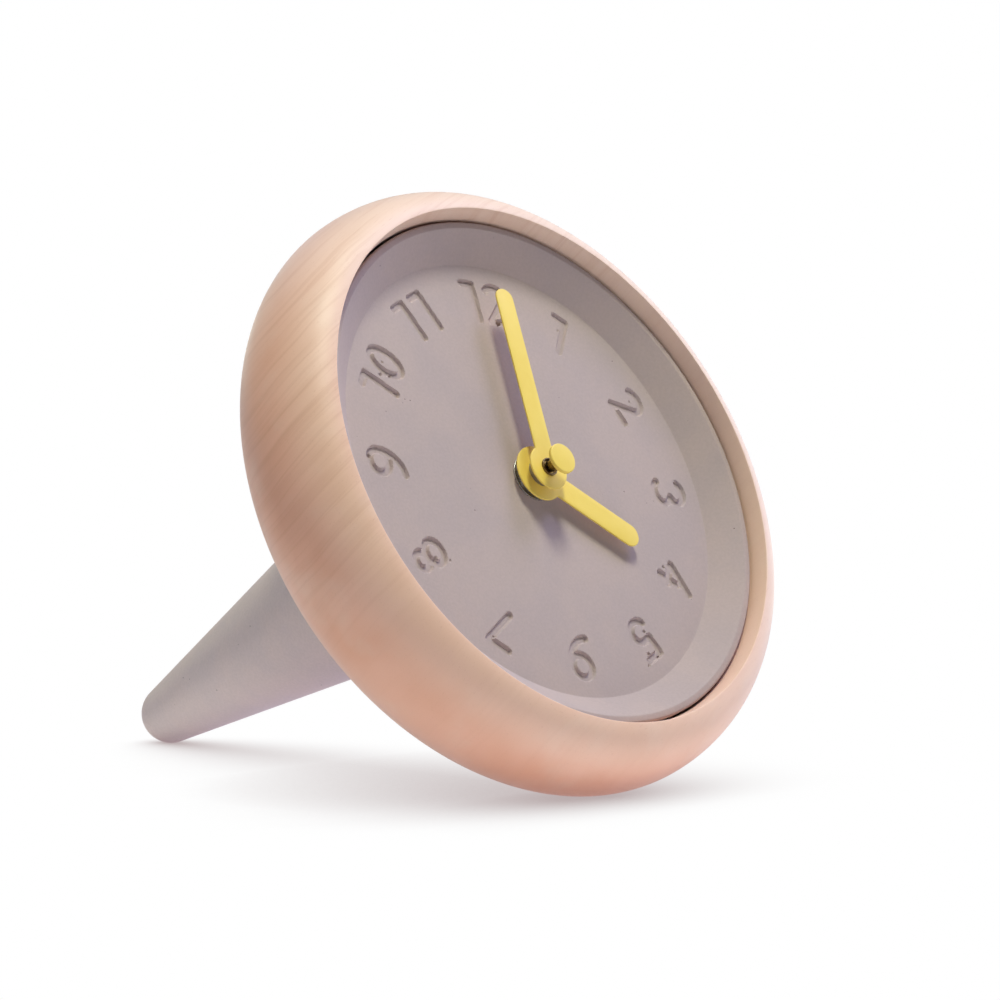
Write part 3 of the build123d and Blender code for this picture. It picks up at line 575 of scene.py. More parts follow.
@dataclass(frozen=True)
class CastConcrete(Finish):
    """Fine concrete with a mauve-grey pigment, cast in a smooth mould: matte and softly clouded.

    Wide clouds of cooler and warmer grey, fine sand drawn a little coarse so that it shows, and sparse
    pinholes left by air, coloured dark inside as painted shade. Sizes are in millimetres.

    Attributes:
        hole_depth: Depth of a pinhole as a multiple of the sand's relief.
        hole_edge: Where a pinhole's edge starts and ends, as shares of its radius.
        air_cells: Size of the airy patches, as a number of pinhole spacings.
        air_limits: Strength of the patches between which pinholes come up.
        shine: Specular level, low for a matte surface.
    """

    name: str = "cast_concrete"
    colour: str = "#BDABAA"
    roughness: float = 0.85
    cool_colour: str = "#B8A8A8"
    warm_colour: str = "#C2AFAB"
    # Dark colour of the sand's specks, and painted shade inside the pinholes.
    hole_colour: str = "#5A5050"
    cloud_size: float = 18.0
    sand_size: float = 0.7
    hole_spacing: float = 3.2
    hole_radius: float = 0.16
    hole_depth: float = 3.0
    hole_edge: tuple[float, float] = (0.6, 1.3)
    air_cells: float = 2.2
    air_limits: tuple[float, float] = (0.56, 0.6)
    relief: float = 0.03
    shine: float = 0.25

    def build(self) -> Material:
        """Make the material; a pinhole is the middle of a cell, in the patches where air was left.

        Returns:
            The finished material.
        """
        material, tree, shader, place = self.start()
        sizes = ((self.cloud_size, 3.0), (self.sand_size, 4.0), (self.air_cells * self.hole_spacing, 1.0))
        noises = [{**NOISE, "Vector": place, "Scale": 1 / size, "Detail": detail} for size, detail in sizes]
        clouds, sand, air = (add_node(tree, Kind.NOISE, None, noise).outputs["Fac"] for noise in noises)
        warm = Stain(self.warm_colour, start=0.35, full=0.65, share=1.0)
        clouded = warm.lay(tree, clouds, linear(self.cool_colour))
        halves = {SHARE: 0.5, UNDER: clouded, OVER: linear(self.colour)}
        base = add_node(tree, Kind.MIX, COLOURS, halves).outputs[MIXED]
        grained = Stain(self.hole_colour, start=0.3, full=0.7, share=0.07).lay(tree, sand, base)
        low, high = self.air_limits
        airy = {"Value": air, "From Min": low, "From Max": high}
        chosen = add_node(tree, Kind.RANGE, SMOOTH, airy).outputs["Result"]
        cells = {"Vector": place, "Scale": 1 / self.hole_spacing, "Randomness": 1.0}
        distance = add_node(tree, Kind.CELLS, {"feature": "F1"}, cells).outputs["Distance"]
        inner, outer = (share * self.hole_radius / self.hole_spacing for share in self.hole_edge)
        fading = {"Value": distance, "From Min": inner, "From Max": outer, "To Min": chosen, "To Max": 0.0}
        holes = add_node(tree, Kind.RANGE, SMOOTH, fading).outputs["Result"]
        # Painted shade: the pinholes take the dark colour.
        pits = {SHARE: holes, UNDER: grained, OVER: linear(self.hole_colour)}
        pitted = add_node(tree, Kind.MIX, COLOURS, pits).outputs[MIXED]
        sunk = {0: holes, 1: -self.hole_depth, 2: sand}
        height = add_node(tree, Kind.MATH, {"operation": "MULTIPLY_ADD"}, sunk).outputs["Value"]
        self.cover(tree, shader, pitted, height, self.relief)
        shader.inputs["Specular IOR Level"].default_value = self.shine
        return material


@dataclass(frozen=True)
class Lacquer(Finish):
    """Opaque yellow lacquer sprayed on stamped sheet: satin, with a slight orange-peel and no grain."""

    name: str = "sprayed_lacquer"
    colour: str = "#F1D362"
    roughness: float = 0.45
    shade: Stain = Stain("#EDCD56", start=0.4, full=0.7, share=0.5)
    peel_size: float = 0.7
    cloud_size: float = 6.0
    relief: float = 0.012

    def build(self) -> Material:
        """Make the material.

        Returns:
            The finished material.
        """
        material, tree, shader, place = self.start()
        sizes = ((self.cloud_size, 3.0), (self.peel_size, 1.0))
        noises = [{**NOISE, "Vector": place, "Scale": 1 / size, "Detail": detail} for size, detail in sizes]
        clouds, peel = (add_node(tree, Kind.NOISE, None, noise).outputs["Fac"] for noise in noises)
        self.cover(tree, shader, self.shade.lay(tree, clouds, linear(self.colour)), peel, self.relief)
        return material


@dataclass(frozen=True)
class TurnedMetal(Finish):
    """Bare or plated metal, turned or stamped: fine tool marks that scatter its shine a little.

    The marks are drawn a little coarse so that they show.

    Attributes:
        mark_width: Width of a tool mark in millimetres.
        scatter: Least and greatest roughness, as shares of the mean one.
    """

    name: str = "turned_metal"
    colour: str = "#B9B7B2"
    roughness: float = 0.3
    mark_colour: str = "#8F8C86"
    mark_width: float = 0.12
    scatter: tuple[float, float] = (0.8, 1.3)
    relief: float = 0.006

    def build(self) -> Material:
        """Make the material.

        Returns:
            The finished material.
        """
        material, tree, shader, place = self.start()
        sizes = (self.mark_width, 20 * self.mark_width)
        noises = [{**NOISE, "Vector": place, "Scale": 1 / size} for size in sizes]
        marks, stains = (add_node(tree, Kind.NOISE, None, noise).outputs["Fac"] for noise in noises)
        worn = Stain(self.mark_colour, start=0.4, full=0.7, share=0.35).lay(tree, marks, linear(self.colour))
        toned = Stain(self.mark_colour, start=0.45, full=0.7, share=0.3).lay(tree, stains, worn)
        least, most = (share * self.roughness for share in self.scatter)
        shine = {"Value": stains, "From Min": 0.3, "From Max": 0.7, "To Min": least, "To Max": most}
        rough = add_node(tree, Kind.RANGE, SMOOTH, shine).outputs["Result"]
        tree.links.new(rough, shader.inputs["Roughness"])
        shader.inputs["Metallic"].default_value = 1.0
        self.cover(tree, shader, toned, marks, self.relief)
        return material


@dataclass(frozen=True)
class MouldedPlastic(Finish):
    """Injection-moulded plastic with a fine spark-eroded grain: even colour, soft broken shine.

    The grain is drawn a little coarse so that it shows.
    """

    name: str = "moulded_plastic"
    colour: str = "#232325"
    roughness: float = 0.5
    dust_colour: str = "#3A3A3C"
    grain_size: float = 0.25
    relief: float = 0.012

    def build(self) -> Material:
        """Make the material.

        Returns:
            The finished material.
        """
        material, tree, shader, place = self.start()
        sizes = (self.grain_size, 40 * self.grain_size)
        noises = [{**NOISE, "Vector": place, "Scale": 1 / size} for size in sizes]
        grain, flow = (add_node(tree, Kind.NOISE, None, noise).outputs["Fac"] for noise in noises)
        dusty = Stain(self.dust_colour, start=0.4, full=0.7, share=0.4).lay(tree, flow, linear(self.colour))
        self.cover(tree, shader, dusty, grain, self.relief)
        return material


def arc(
    centre: tuple[float, float], radii: tuple[float, float], start: float, end: float, points: int = 15
) -> Array:
    """Points on an ellipse's arc: centre plus the radii times cosine and sine of angles in degrees."""
    angle = np.radians(np.linspace(start, end, points))
    return np.stack([centre[0] + radii[0] * np.cos(angle), centre[1] + radii[1] * np.sin(angle)], axis=-1)


def path(*pieces: Sequence[Sequence[float]]) -> Array:
    """Join single points and rows of points into one stroke."""
    return np.concatenate([np.atleast_2d(np.asarray(piece, float)) for piece in pieces])


@dataclass(frozen=True)
class Figure:
    """The dial's figures as the middle lines of their strokes, in millimetres about their centres.

    Attributes:
        top: Height of the upper strokes' middle line.
        half_width: Half the width of a round figure between its middle lines.
    """

    top: float = 5.0
    half_width: float = 3.1

    def strokes(self, digit: str) -> list[Array]:
        """Draw one digit.

        Args:
            digit: A digit from 0 to 9.

        Returns:
            The middle lines of its strokes.
        """
        t, w = self.top, self.half_width
        small, large = 0.42 * t, 0.6 * t
        return {
            "0": [arc((0, 0), (0.9 * w, t), 0, 360, 41)],
            "1": [path((-w, t), (0.4, t), (0.4, -t))],
            "2": [path(arc((0, 0.5 * t), (w, 0.5 * t), 150, -20), (-w, -t), (w, -t))],
            "3": [
                path(
                    arc((-0.1 * w, 0.48 * t), (0.95 * w, 0.52 * t), 150, -62),
                    arc((-0.1 * w, -0.45 * t), (w, 0.55 * t), 62, -150),
                )
            ],
            "4": [
                path((0.7 * w, t), (-w, -0.45 * t), (w, -0.45 * t)),
                path((0.5 * w, 0.2 * t), (0.5 * w, -t)),
            ],
            "5": [
                path((0.9 * w, t), (-0.75 * w, t), (-0.75 * w, 0.08 * t)),
                path((-0.75 * w, 0.08 * t), arc((-0.1 * w, -0.42 * t), (w, 0.56 * t), 75, -150)),
            ],
            "6": [
                arc((0, -t + large), (w, large), 0, 360, 31),
                arc((1.1 * w, -t + large), (2.1 * w, 1.66 * t - 0.3 * large), 180, 92),
            ],
            "7": [path((-w, t), (w, t), (-0.45 * w, -t))],
            "8": [
                arc((0.1, t - small), (0.72 * w, small), 0, 360, 31),
                arc((0, -t + large - 0.05 * t), (w, 0.53 * t), 0, 360, 31),
            ],
            "9": [
                arc((0, t - large), (w, large), 0, 360, 31),
                arc((-1.1 * w, t - large), (2.1 * w, 1.66 * t - 0.3 * large), 0, -88),
            ],
        }[digit]


@dataclass
class ConcreteDial:
    """The dished dial with its twelve engraved hour numbers and the air bubbles of the casting.

    Attributes:
        figure_radius: Radius of the circle that the numbers' centres lie on.
        groove_width: Width of the engraved strokes.
        groove_depth: Depth of the engraved strokes.
        groove_edge: Width over which a stroke's wall falls.
        fine_step: Spacing of the mesh's points where it is engraved.
        coarse_turn: Spacing of its columns between the numbers, in degrees.
        figure_band: Half the width of the finely divided band under the numbers.
        figure_margin: How far the finely divided columns go past a number.
        digit_pitch: Distance between the middles of a number's two digits.
        bubble_depth: Depth of an air bubble as a share of its radius.
        bubbles: Air bubbles as (clock angle in degrees, radius on the dial, size).
    """

    clock: ClockFrame
    hole_radius: float = 4.2
    floor_radius: float = 58.69
    floor_depth: float = 10.65
    floor_round: float = 0.6
    back_depth: float = 16.65
    rim_depth: float = 4.5
    rim_width: float = 1.9
    rim_round: float = 0.7
    back_round: float = 0.3
    outer_radius: float = 67.89
    figure_radius: float = 48.4
    groove_width: float = 1.9
    groove_depth: float = 0.8
    groove_edge: float = 0.3
    fine_step: float = 0.26
    inner_rows: int = 14
    coarse_turn: float = 2.2
    figure_band: float = 8.0
    figure_margin: float = 1.2
    digit_pitch: float = 7.4
    bubble_depth: float = 1.2
    figure: Figure = field(default_factory=Figure)
    bubbles: tuple[tuple[float, float, float], ...] = (
        (4.6, 43.6, 0.75),
        (299.0, 49.0, 0.45),
        (301.5, 46.0, 0.4),
        (303.5, 49.5, 0.35),
        (238.5, 47.2, 0.55),
        (235.0, 43.5, 0.35),
        (271.5, 52.8, 0.6),
        (211.5, 51.6, 0.4),
        (152.0, 52.0, 0.5),
        (148.5, 54.2, 0.45),
        (154.5, 54.4, 0.4),
        (148.0, 47.0, 0.5),
        (28.5, 49.6, 0.35),
        (59.5, 50.0, 0.35),
        (87.5, 52.0, 0.35),
        (119.0, 44.0, 0.45),
    )

    def digits(self, hour: int) -> list[tuple[str, float]]:
        """Set out an hour's digits.

        Args:
            hour: The hour, from 1 to 12.

        Returns:
            Each digit with its place across the number.
        """
        text = str(hour)
        start = -0.5 * self.digit_pitch * (len(text) - 1)
        return [(digit, start + index * self.digit_pitch) for index, digit in enumerate(text)]

    def columns(self) -> Array:
        """Set out the mesh's columns, close together under the numbers and wider between them.

        Returns:
            Their directions round the dial, in radians.
        """
        fine = self.fine_step / self.figure_radius
        coarse = math.radians(self.coarse_turn)
        spans = []
        for hour in range(12, 0, -1):
            half_across = 0.5 * self.digit_pitch * len(self.digits(hour)) + self.figure_margin
            half = math.asin(half_across / (self.figure_radius - self.figure_band))
            middle = math.radians(90 - 30 * hour)
            spans.append((middle - half, middle + half))
        angles = []
        for (start, end), (follower, _) in zip(spans, spans[1:] + spans[:1]):
            gap = (follower - end) % math.tau
            angles.append(np.linspace(start, end, round((end - start) / fine), endpoint=False))
            angles.append(end + np.linspace(0, gap, max(2, round(gap / coarse)), endpoint=False))
        return np.concatenate(angles)

    def profile(self) -> tuple[Array, Array]:
        """Draw the dial's section, from its hole over the front and back to the hole.

        Returns:
            The radii and the depths of its points.
        """
        low, high = self.figure_radius - self.figure_band, self.figure_radius + self.figure_band
        inner = np.linspace(self.hole_radius, low, self.inner_rows, endpoint=False)
        band = np.linspace(low, high, round((high - low) / self.fine_step))
        floor = np.concatenate([inner, band])
        outline = round_corners(
            [
                (high, self.floor_depth, 0),
                (self.floor_radius, self.floor_depth, self.floor_round),
                (self.outer_radius - self.rim_width, self.rim_depth, self.rim_round),
                (self.outer_radius, self.rim_depth, self.rim_round),
                (self.outer_radius, self.back_depth, self.back_round),
                (self.hole_radius, self.back_depth, 0),
            ],
            closed=False,
            steps=6,
        )
        radius = np.concatenate([floor, outline[1:, 0]])
        depth = np.concatenate([np.full(floor.shape, self.floor_depth), outline[1:, 1]])
        return radius, depth

    def engraving(self, across: Array, high: Array) -> Array:
        """Depth of the engraved numbers under points of the floor.

        A stroke is as deep as its full depth where a point is nearer to its middle line than half its
        width, and rises smoothly to nothing over its edge.

        Args:
            across: Places to the right of the dial's centre.
            high: Places towards twelve from the dial's centre.

        Returns:
            The depth at each of them.
        """
        depth = np.zeros_like(across)
        inner = 0.5 * (self.groove_width - self.groove_edge)
        for hour in range(1, 13):
            turn = math.radians(30 * hour)
            outwards = np.array([math.sin(turn), math.cos(turn)])
            sideways = np.array([math.cos(turn), -math.sin(turn)])
            upright = -1.0 if hour == 6 else 1.0
            local_x = upright * (across * sideways[0] + high * sideways[1])
            local_y = upright * (across * outwards[0] + high * outwards[1] - self.figure_radius)
            for digit, offset in self.digits(hour):
                for stroke in self.figure.strokes(digit):
                    x, y = local_x - offset, local_y
                    near = (np.abs(x) < self.digit_pitch) & (np.abs(y) < self.figure_band)
                    distance = stroke_distance(x[near], y[near], stroke)
                    rise = np.clip((distance - inner) / self.groove_edge, 0, 1)
                    fall = self.groove_depth * (1 - rise**2 * (3 - 2 * rise))
                    depth[near] = np.maximum(depth[near], fall)
        return depth

    def build(self, skin: Material) -> None:
        """Make the dial: the section carried round the axis, engraved and pitted on its floor.

        Args:
            skin: The piece's material.
        """
        radius, section_depth = self.profile()
        angle = self.columns()
        across = radius[:, None] * np.cos(angle)
        high = radius[:, None] * np.sin(angle)
        depth = np.broadcast_to(section_depth[:, None], across.shape).copy()
        floor = section_depth == self.floor_depth
        carved = self.engraving(across, high)
        for clock_angle, distance, size in self.bubbles:
            x = distance * math.sin(math.radians(clock_angle))
            y = distance * math.cos(math.radians(clock_angle))
            hollow = np.sqrt(np.clip(size**2 - (across - x) ** 2 - (high - y) ** 2, 0, None))
            carved += self.bubble_depth * hollow
        depth[floor] += carved[floor]
        grid = self.clock.place(across, high, depth)
        piece = surface("cast_dial", grid, wrap_rows=True)
        seat(piece, Body.HEAD, ["concrete_dial"], skin)


def stroke_distance(x: Array, y: Array, stroke: Array) -> Array:
    """Distance from points to a stroke's middle line.

    Each point is dropped onto each straight run, held between the run's ends, and the least
    distance is kept.

    Args:
        x: Places of the points along x.
        y: Their places along y.
        stroke: The middle line's points.

    Returns:
        The distance of each point.
    """
    start, end = stroke[:-1], stroke[1:]
    run = end - start
    length = np.maximum((run**2).sum(axis=1), LEAST_SQUARE)
    share = ((x[:, None] - start[:, 0]) * run[:, 0] + (y[:, None] - start[:, 1]) * run[:, 1]) / length
    share = np.clip(share, 0, 1)
    gap_x = x[:, None] - start[:, 0] - share * run[:, 0]
    gap_y = y[:, None] - start[:, 1] - share * run[:, 1]
    return np.sqrt((gap_x**2 + gap_y**2).min(axis=1))


@dataclass
class WoodRing:
    """The turned ring: two quarter ellipses outside, a tapered bore, and steps for dial and cone."""

    clock: ClockFrame
    front_radius: float = 67.99
    front_width: float = 12.0
    belly_depth: float = 17.9
    tail_radius: float = 29.29
    tail_width: float = 50.7
    tail_length: float = 29.1
    ring_depth: float = 40.0
    lip_radius: float = 69.39
    taper_depth: float = 4.5
    bore_radius: float = 68.59
    dial_back: float = 16.65
    shoulder_radius: float = 61.99
    ledge_front: float = 28.0
    passage_radius: float = 44.0
    ledge_back: float = 33.95
    rebate_radius: float = 55.4
    edge_round: float = 0.35
    crown_steps: int = 26
    tail_steps: int = 30
    columns: int = 288

    def profile(self) -> Array:
        """Draw the ring's section.

        Returns:
            Points as (radius, depth), in a closed loop.
        """
        lip = math.acos((self.lip_radius - self.front_radius) / self.front_width)
        tail = math.asin((self.ring_depth - self.belly_depth) / self.tail_length)
        centre, radii = (self.front_radius, self.belly_depth), (self.front_width, self.belly_depth)
        crown = arc(centre, radii, -math.degrees(lip), 0, self.crown_steps)
        centre, radii = (self.tail_radius, self.belly_depth), (self.tail_width, self.tail_length)
        back = arc(centre, radii, 0, math.degrees(tail), self.tail_steps)[1:]
        soft = self.edge_round
        inside = [
            (self.rebate_radius, self.ring_depth, soft),
            (self.rebate_radius, self.ledge_back, 0),
            (self.passage_radius, self.ledge_back, soft),
            (self.passage_radius, self.ledge_front, soft),
            (self.shoulder_radius, self.ledge_front, 0),
            (self.shoulder_radius, self.dial_back, soft),
            (self.bore_radius, self.dial_back, 0),
            (self.bore_radius, self.taper_depth, 0),
        ]
        outside = [(*point, 0) for point in np.concatenate([crown, back]).tolist()]
        outside[0] = (*outside[0][:2], 0.5 * soft)
        outside[-1] = (*outside[-1][:2], soft)
        return round_corners(outside + inside, closed=True)

    def build(self, skin: Material) -> None:
        """Turn the ring's section about the clock's axis and give it that material."""
        piece = lathe("turned_ring", self.clock, self.profile(), self.columns)
        seat(piece, Body.HEAD, ["wood_ring"], skin)


@dataclass
class ConcreteCone:
    """The cast cone: a flange, a side that runs into a ball, and the ball's end as its tip."""

    clock: ClockFrame
    flange_radius: float = 55.09
    flange_front: float = 34.05
    flange_back: float = 40.0
    flange_round: float = 0.8
    root_round: float = 5.0
    half_angle: float = 9.0
    tip_radius: float = 8.0
    tip_depth: float = 160.25
    wall_steps: int = 24
    tip_steps: int = 18
    columns: int = 240

    def build(self, skin: Material) -> None:
        """Turn the cone's section; the tip's arc is the ball's radius at angles up to a right angle.

        Args:
            skin: The piece's material.
        """
        lean = math.radians(self.half_angle)
        root = (self.tip_radius + (self.tip_depth - self.flange_back) * math.sin(lean)) / math.cos(lean)
        radii = (self.tip_radius, self.tip_radius)
        ball = arc((0, self.tip_depth), radii, self.half_angle, 90, self.tip_steps)
        wall = np.linspace((root, self.flange_back), ball[0], self.wall_steps)[1:-1]
        outline = round_corners(
            [
                (0, self.flange_front, 0),
                (self.flange_radius, self.flange_front, 0.6 * self.flange_round),
                (self.flange_radius, self.flange_back, self.flange_round),
                (root, self.flange_back, self.root_round),
                (*ball[0], 0),
            ],
            closed=False,
            steps=8,
        )
        wall = wall[wall[:, 1] > self.flange_back + 2 * self.root_round]
        profile = np.concatenate([outline[:-1], wall, ball])
        piece = lathe("cast_cone", self.clock, profile, self.columns, closed=False)
        seat(piece, Body.CONE, ["concrete_cone"], skin)


@dataclass
class StampedHand:
    """One hand: a straight bar with a round end on a round hub, stamped from sheet.

    Attributes:
        name: The piece's name.
        node: The node that it stands for.
        body: The body that it rides on.
        clock_angle: Where it points, in degrees clockwise from twelve.
        length: From the axis to the end of the bar.
        width: Width of the bar.
        hub_radius: Radius of the hub.
        hole_radius: Radius of the hole for the collar.
        front: Depth of the front face.
    """

    clock: ClockFrame
    name: str
    node: str
    body: Body
    clock_angle: float
    length: float
    width: float
    hub_radius: float
    hole_radius: float
    front: float
    thickness: float = 0.5
    edge_round: float = 0.12
    hub_steps: int = 97
    bar_steps: int = 26
    end_steps: int = 33
    edge_steps: int = 4

    def outline(self) -> Array:
        """Draw the outline with the bar along x: hub, straight side, round end and other side.

        Returns:
            The outline's points, anticlockwise.
        """
        half = self.width / 2
        meet = math.asin(half / self.hub_radius)
        end = self.length - half
        start = self.hub_radius * math.cos(meet)
        first = math.degrees(meet)
        hub = arc((0, 0), (self.hub_radius, self.hub_radius), first, 360 - first, self.hub_steps)
        run = np.linspace(start, end, self.bar_steps)[1:-1]
        lower = np.stack([run, np.full(run.shape, -half)], axis=-1)
        tip = arc((end, 0), (half, half), -90, 90, self.end_steps)
        upper = np.stack([run[::-1], np.full(run.shape, half)], axis=-1)
        return np.concatenate([hub, lower, tip, upper])

    def build(self, skin: Material) -> None:
        """Carry a section with rounded edges round the outline.

        At each point of the outline the section runs over the front from the hole to the edge, round
        the edge and back over the rear. A point of the front lies on the straight line from the
        outline to the hole's circle in the same direction.

        Args:
            skin: The piece's material.
        """
        edge = self.outline()
        tangent = np.roll(edge, -1, axis=0) - np.roll(edge, 1, axis=0)
        tangent /= np.linalg.norm(tangent, axis=1, keepdims=True)
        inwards = np.stack([-tangent[:, 1], tangent[:, 0]], axis=-1)
        hole = self.hole_radius * edge / np.linalg.norm(edge, axis=1, keepdims=True)
        soft = self.edge_round
        back = self.front + self.thickness
        flat = edge + inwards * soft
        rounding = [
            (edge + inwards * soft * (1 - math.sin(angle)), soft * (1 - math.cos(angle)))
            for angle in np.radians(np.linspace(0, 90, self.edge_steps))
        ]
        rows = [(hole + share * (flat - hole), self.front) for share in (0.0, 0.5)]
        rows += [(points, self.front + drop) for points, drop in rounding]
        rows += [(points, back - drop) for points, drop in reversed(rounding)]
        rows += [(hole + share * (flat - hole), back) for share in (0.5, 0.0)]
        turn = math.radians(90 - self.clock_angle)
        grid = np.stack(
            [
                self.clock.place(
                    points[:, 0] * math.cos(turn) - points[:, 1] * math.sin(turn),
                    points[:, 0] * math.sin(turn) + points[:, 1] * math.cos(turn),
                    depth,
                )
                for points, depth in rows
            ]
        )
        piece = surface(self.name, grid, wrap_rows=True)
        seat(piece, self.body, [self.node], skin)


@dataclass
class HandStack:
    """Hands with their collars and the cap in front, all round the clock's axis.

    Attributes:
        hour_collar: Section of the hour hand's collar, as corners of radius, depth and rounding.
        minute_collar: Section of the minute hand's collar, likewise.
        cap: Half section of the cap's disc, from the axis round to the axis.
        socket: Half section of the tube that carries the cap.
    """

    clock: ClockFrame
    hour_collar: Section = (
        (2.55, 5.53, 0.1), (3.6, 5.53, 0.15), (3.6, 8.23, 0),
        (4.25, 8.23, 0.08), (4.25, 8.51, 0.08), (2.55, 8.51, 0.05),
    )
    minute_collar: Section = (
        (1.6, 4.52, 0), (2.05, 4.52, 0), (2.05, 3.92, 0.05), (2.35, 3.92, 0.08),
        (2.35, 4.92, 0), (3.0, 4.92, 0.08), (3.0, 5.2, 0.08), (1.6, 5.2, 0.05),
    )
    cap: Section = ((0, -0.96, 0), (3.95, -0.96, 0.28), (3.95, 0.04, 0.2), (0, 0.04, 0))
    socket: Section = ((0, 0, 0), (1.5, 0, 0), (1.5, 4.2, 0.15), (0, 4.2, 0))

    def build(self, yellow: Material, bronze: Material, grey: Material) -> None:
        """Make both hands, then turn both collars, the cap and its socket.

        Args:
            yellow: Material of the hands and the cap.
            bronze: Material of the minute hand's collar and the socket.
            grey: Material of the hour hand's collar.
        """
        StampedHand(
            self.clock, "stamped_hour_hand", "hour_hand", Body.HOUR,
            clock_angle=119.4, length=33.0, width=6.2, hub_radius=7.3, hole_radius=3.6, front=7.73,
        ).build(yellow)
        StampedHand(
            self.clock, "stamped_minute_hand", "minute_hand", Body.MINUTE,
            clock_angle=0.8, length=49.5, width=5.7, hub_radius=5.85, hole_radius=2.35, front=4.42,
        ).build(yellow)
        collar = self.turned("turned_hour_collar", self.hour_collar)
        seat(collar, Body.HOUR, ["hour_hand_collar"], grey)
        collar = self.turned("turned_minute_collar", self.minute_collar)
        seat(collar, Body.MINUTE, ["minute_hand_collar"], bronze)
        cap = self.turned("stamped_cap", self.cap, closed=False, steps=5, columns=96)
        seat(cap, Body.SECONDS, ["seconds_cap"], yellow)
        socket = self.turned("turned_cap_socket", self.socket, closed=False)
        seat(socket, Body.SECONDS, ["seconds_cap"], bronze)

    def turned(
        self, name: str, section: Section, closed: bool = True, steps: int = 4, columns: int = 64
    ) -> Object:
        """Round a section's corners and turn it about the axis."""
        return lathe(name, self.clock, round_corners(section, closed, steps), columns, closed)


@dataclass
class Fastening:
    """Washer and nut that clamp the movement's bush in the dial's hole.

    Attributes:
        nut_flats: Width of the nut across its flats.
        nut_face: How far the nut's round front face stands out past its flats.
        chamfer: Height of the chamfer between that face and the flats' corners.
        bore_bevel: Size of the bevel round the nut's bore.
        soft: Rounding of the washer's edges, apart from its front rim.
    """

    clock: ClockFrame
    washer_radius: float = 6.2
    hole_radius: float = 4.0
    floor_depth: float = 10.65
    washer_thickness: float = 0.4
    rim_round: float = 0.12
    soft: float = 0.05
    nut_flats: float = 10.0
    nut_thickness: float = 1.3
    nut_face: float = 0.12
    chamfer: float = 0.35
    bore_bevel: float = 0.15
    columns: int = 96

    def build(self, nickel: Material) -> None:
        """Make the washer, and the nut as a hexagon whose corners are turned off by a chamfer.

        The hexagon's radius at an angle is half the flats over the cosine of the angle to its side.

        Args:
            nickel: Material of both.
        """
        top = self.floor_depth - self.washer_thickness
        section = (
            (self.hole_radius, top, self.soft),
            (self.washer_radius, top, self.rim_round),
            (self.washer_radius, self.floor_depth, self.soft),
            (self.hole_radius, self.floor_depth, self.soft),
        )
        washer = lathe("stamped_washer", self.clock, round_corners(section, closed=True), self.columns)
        seat(washer, Body.HEAD, ["dial_washer"], nickel)
        angle = np.linspace(0, math.tau, self.columns, endpoint=False)
        sector = (angle + math.pi / 6) % (math.pi / 3) - math.pi / 6
        flat = self.nut_flats / 2 / np.cos(sector)
        front = top - self.nut_thickness
        rows = (
            (self.hole_radius, front + self.bore_bevel),
            (self.hole_radius + self.bore_bevel, front),
            (np.minimum(flat, self.nut_flats / 2 + self.nut_face), front),
            (flat, front + self.chamfer),
            (flat, top),
            (self.hole_radius, top),
        )
        circles = ((radius * np.cos(angle), radius * np.sin(angle), depth) for radius, depth in rows)
        grid = np.stack([self.clock.place(*circle) for circle in circles])
        nut = surface("hexagon_nut", grid, wrap_rows=True)
        seat(nut, Body.HEAD, ["hex_nut"], nickel)


@dataclass
class Movement:
    """Finishes of the movement's own nodes, which keep their meshes."""

    def dress(self, nodes: dict[str, Object]) -> None:
        """Give each node of the movement its material.

        Args:
            nodes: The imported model's nodes by name.
        """
        black = MouldedPlastic("moulded_abs").build()
        white = MouldedPlastic("moulded_acetal", "#E4E0D6", 0.4, "#D8D2C4").build()
        rubber = MouldedPlastic("moulded_rubber", "#1B1B1C", 0.75, "#29292A", grain_size=0.4).build()
        board = MouldedPlastic("coated_board", "#1F5A38", 0.35, "#2C6E46").build()
        epoxy = MouldedPlastic("cured_epoxy", "#141414", 0.3, "#1E1E1E").build()
        sleeve = MouldedPlastic("shrunk_sleeve", "#5E666B", 0.3, "#545B60").build()
        steel = TurnedMetal("plated_steel").build()
        brass = TurnedMetal("turned_brass_parts", "#C9A661", 0.3, "#A68645").build()
        iron = TurnedMetal("stamped_iron", "#8F8B86", 0.42, "#6F6B66").build()
        copper = TurnedMetal("wound_copper", "#B5653A", 0.35, "#8C4526", mark_width=0.2).build()
        magnet = TurnedMetal("plated_magnet", "#C8C8C6", 0.2, "#ABABA9").build()
        finishes = {
            black: ["movement_front_case", "movement_back_case", "middle_plate", "train_bridge"],
            white: [
                "hour_wheel", "centre_wheel", "motion_work_wheel", "setting_knob", "seconds_wheel",
                "third_wheel", "intermediate_wheel", "rotor", "coil_bobbin",
            ],
            rubber: ["rubber_gasket"],
            board: ["circuit_board"],
            epoxy: ["circuit_chip"],
            sleeve: ["battery_cell"],
            steel: [
                "cone_steel_discs", "clutch_spring", "quartz_crystal", "positive_contact", "negative_contact",
            ],
            brass: ["threaded_bush", "minute_pipe"],
            iron: ["stator", "coil_core"],
            copper: ["coil_winding"],
            magnet: ["ring_magnets", "rotor_magnet"],
        }
        for skin, names in finishes.items():
            for name in names:
                node = nodes[name]
                node.data.materials.clear()
                node.data.materials.append(skin)
                log.info("%s: dressed in %s", name, skin.name)


@dataclass(frozen=True)
class Softbox:
    """A soft rectangular lamp that faces the clock.

    Attributes:
        name: The lamp's name.
        direction: From the clock towards the lamp.
        sides: Its level and its steep side, in metres.
        power: Watts.
        colour: Colour of the light as sRGB hex.
    """

    name: str
    direction: tuple[float, float, float]
    sides: tuple[float, float]
    power: float
    colour: str


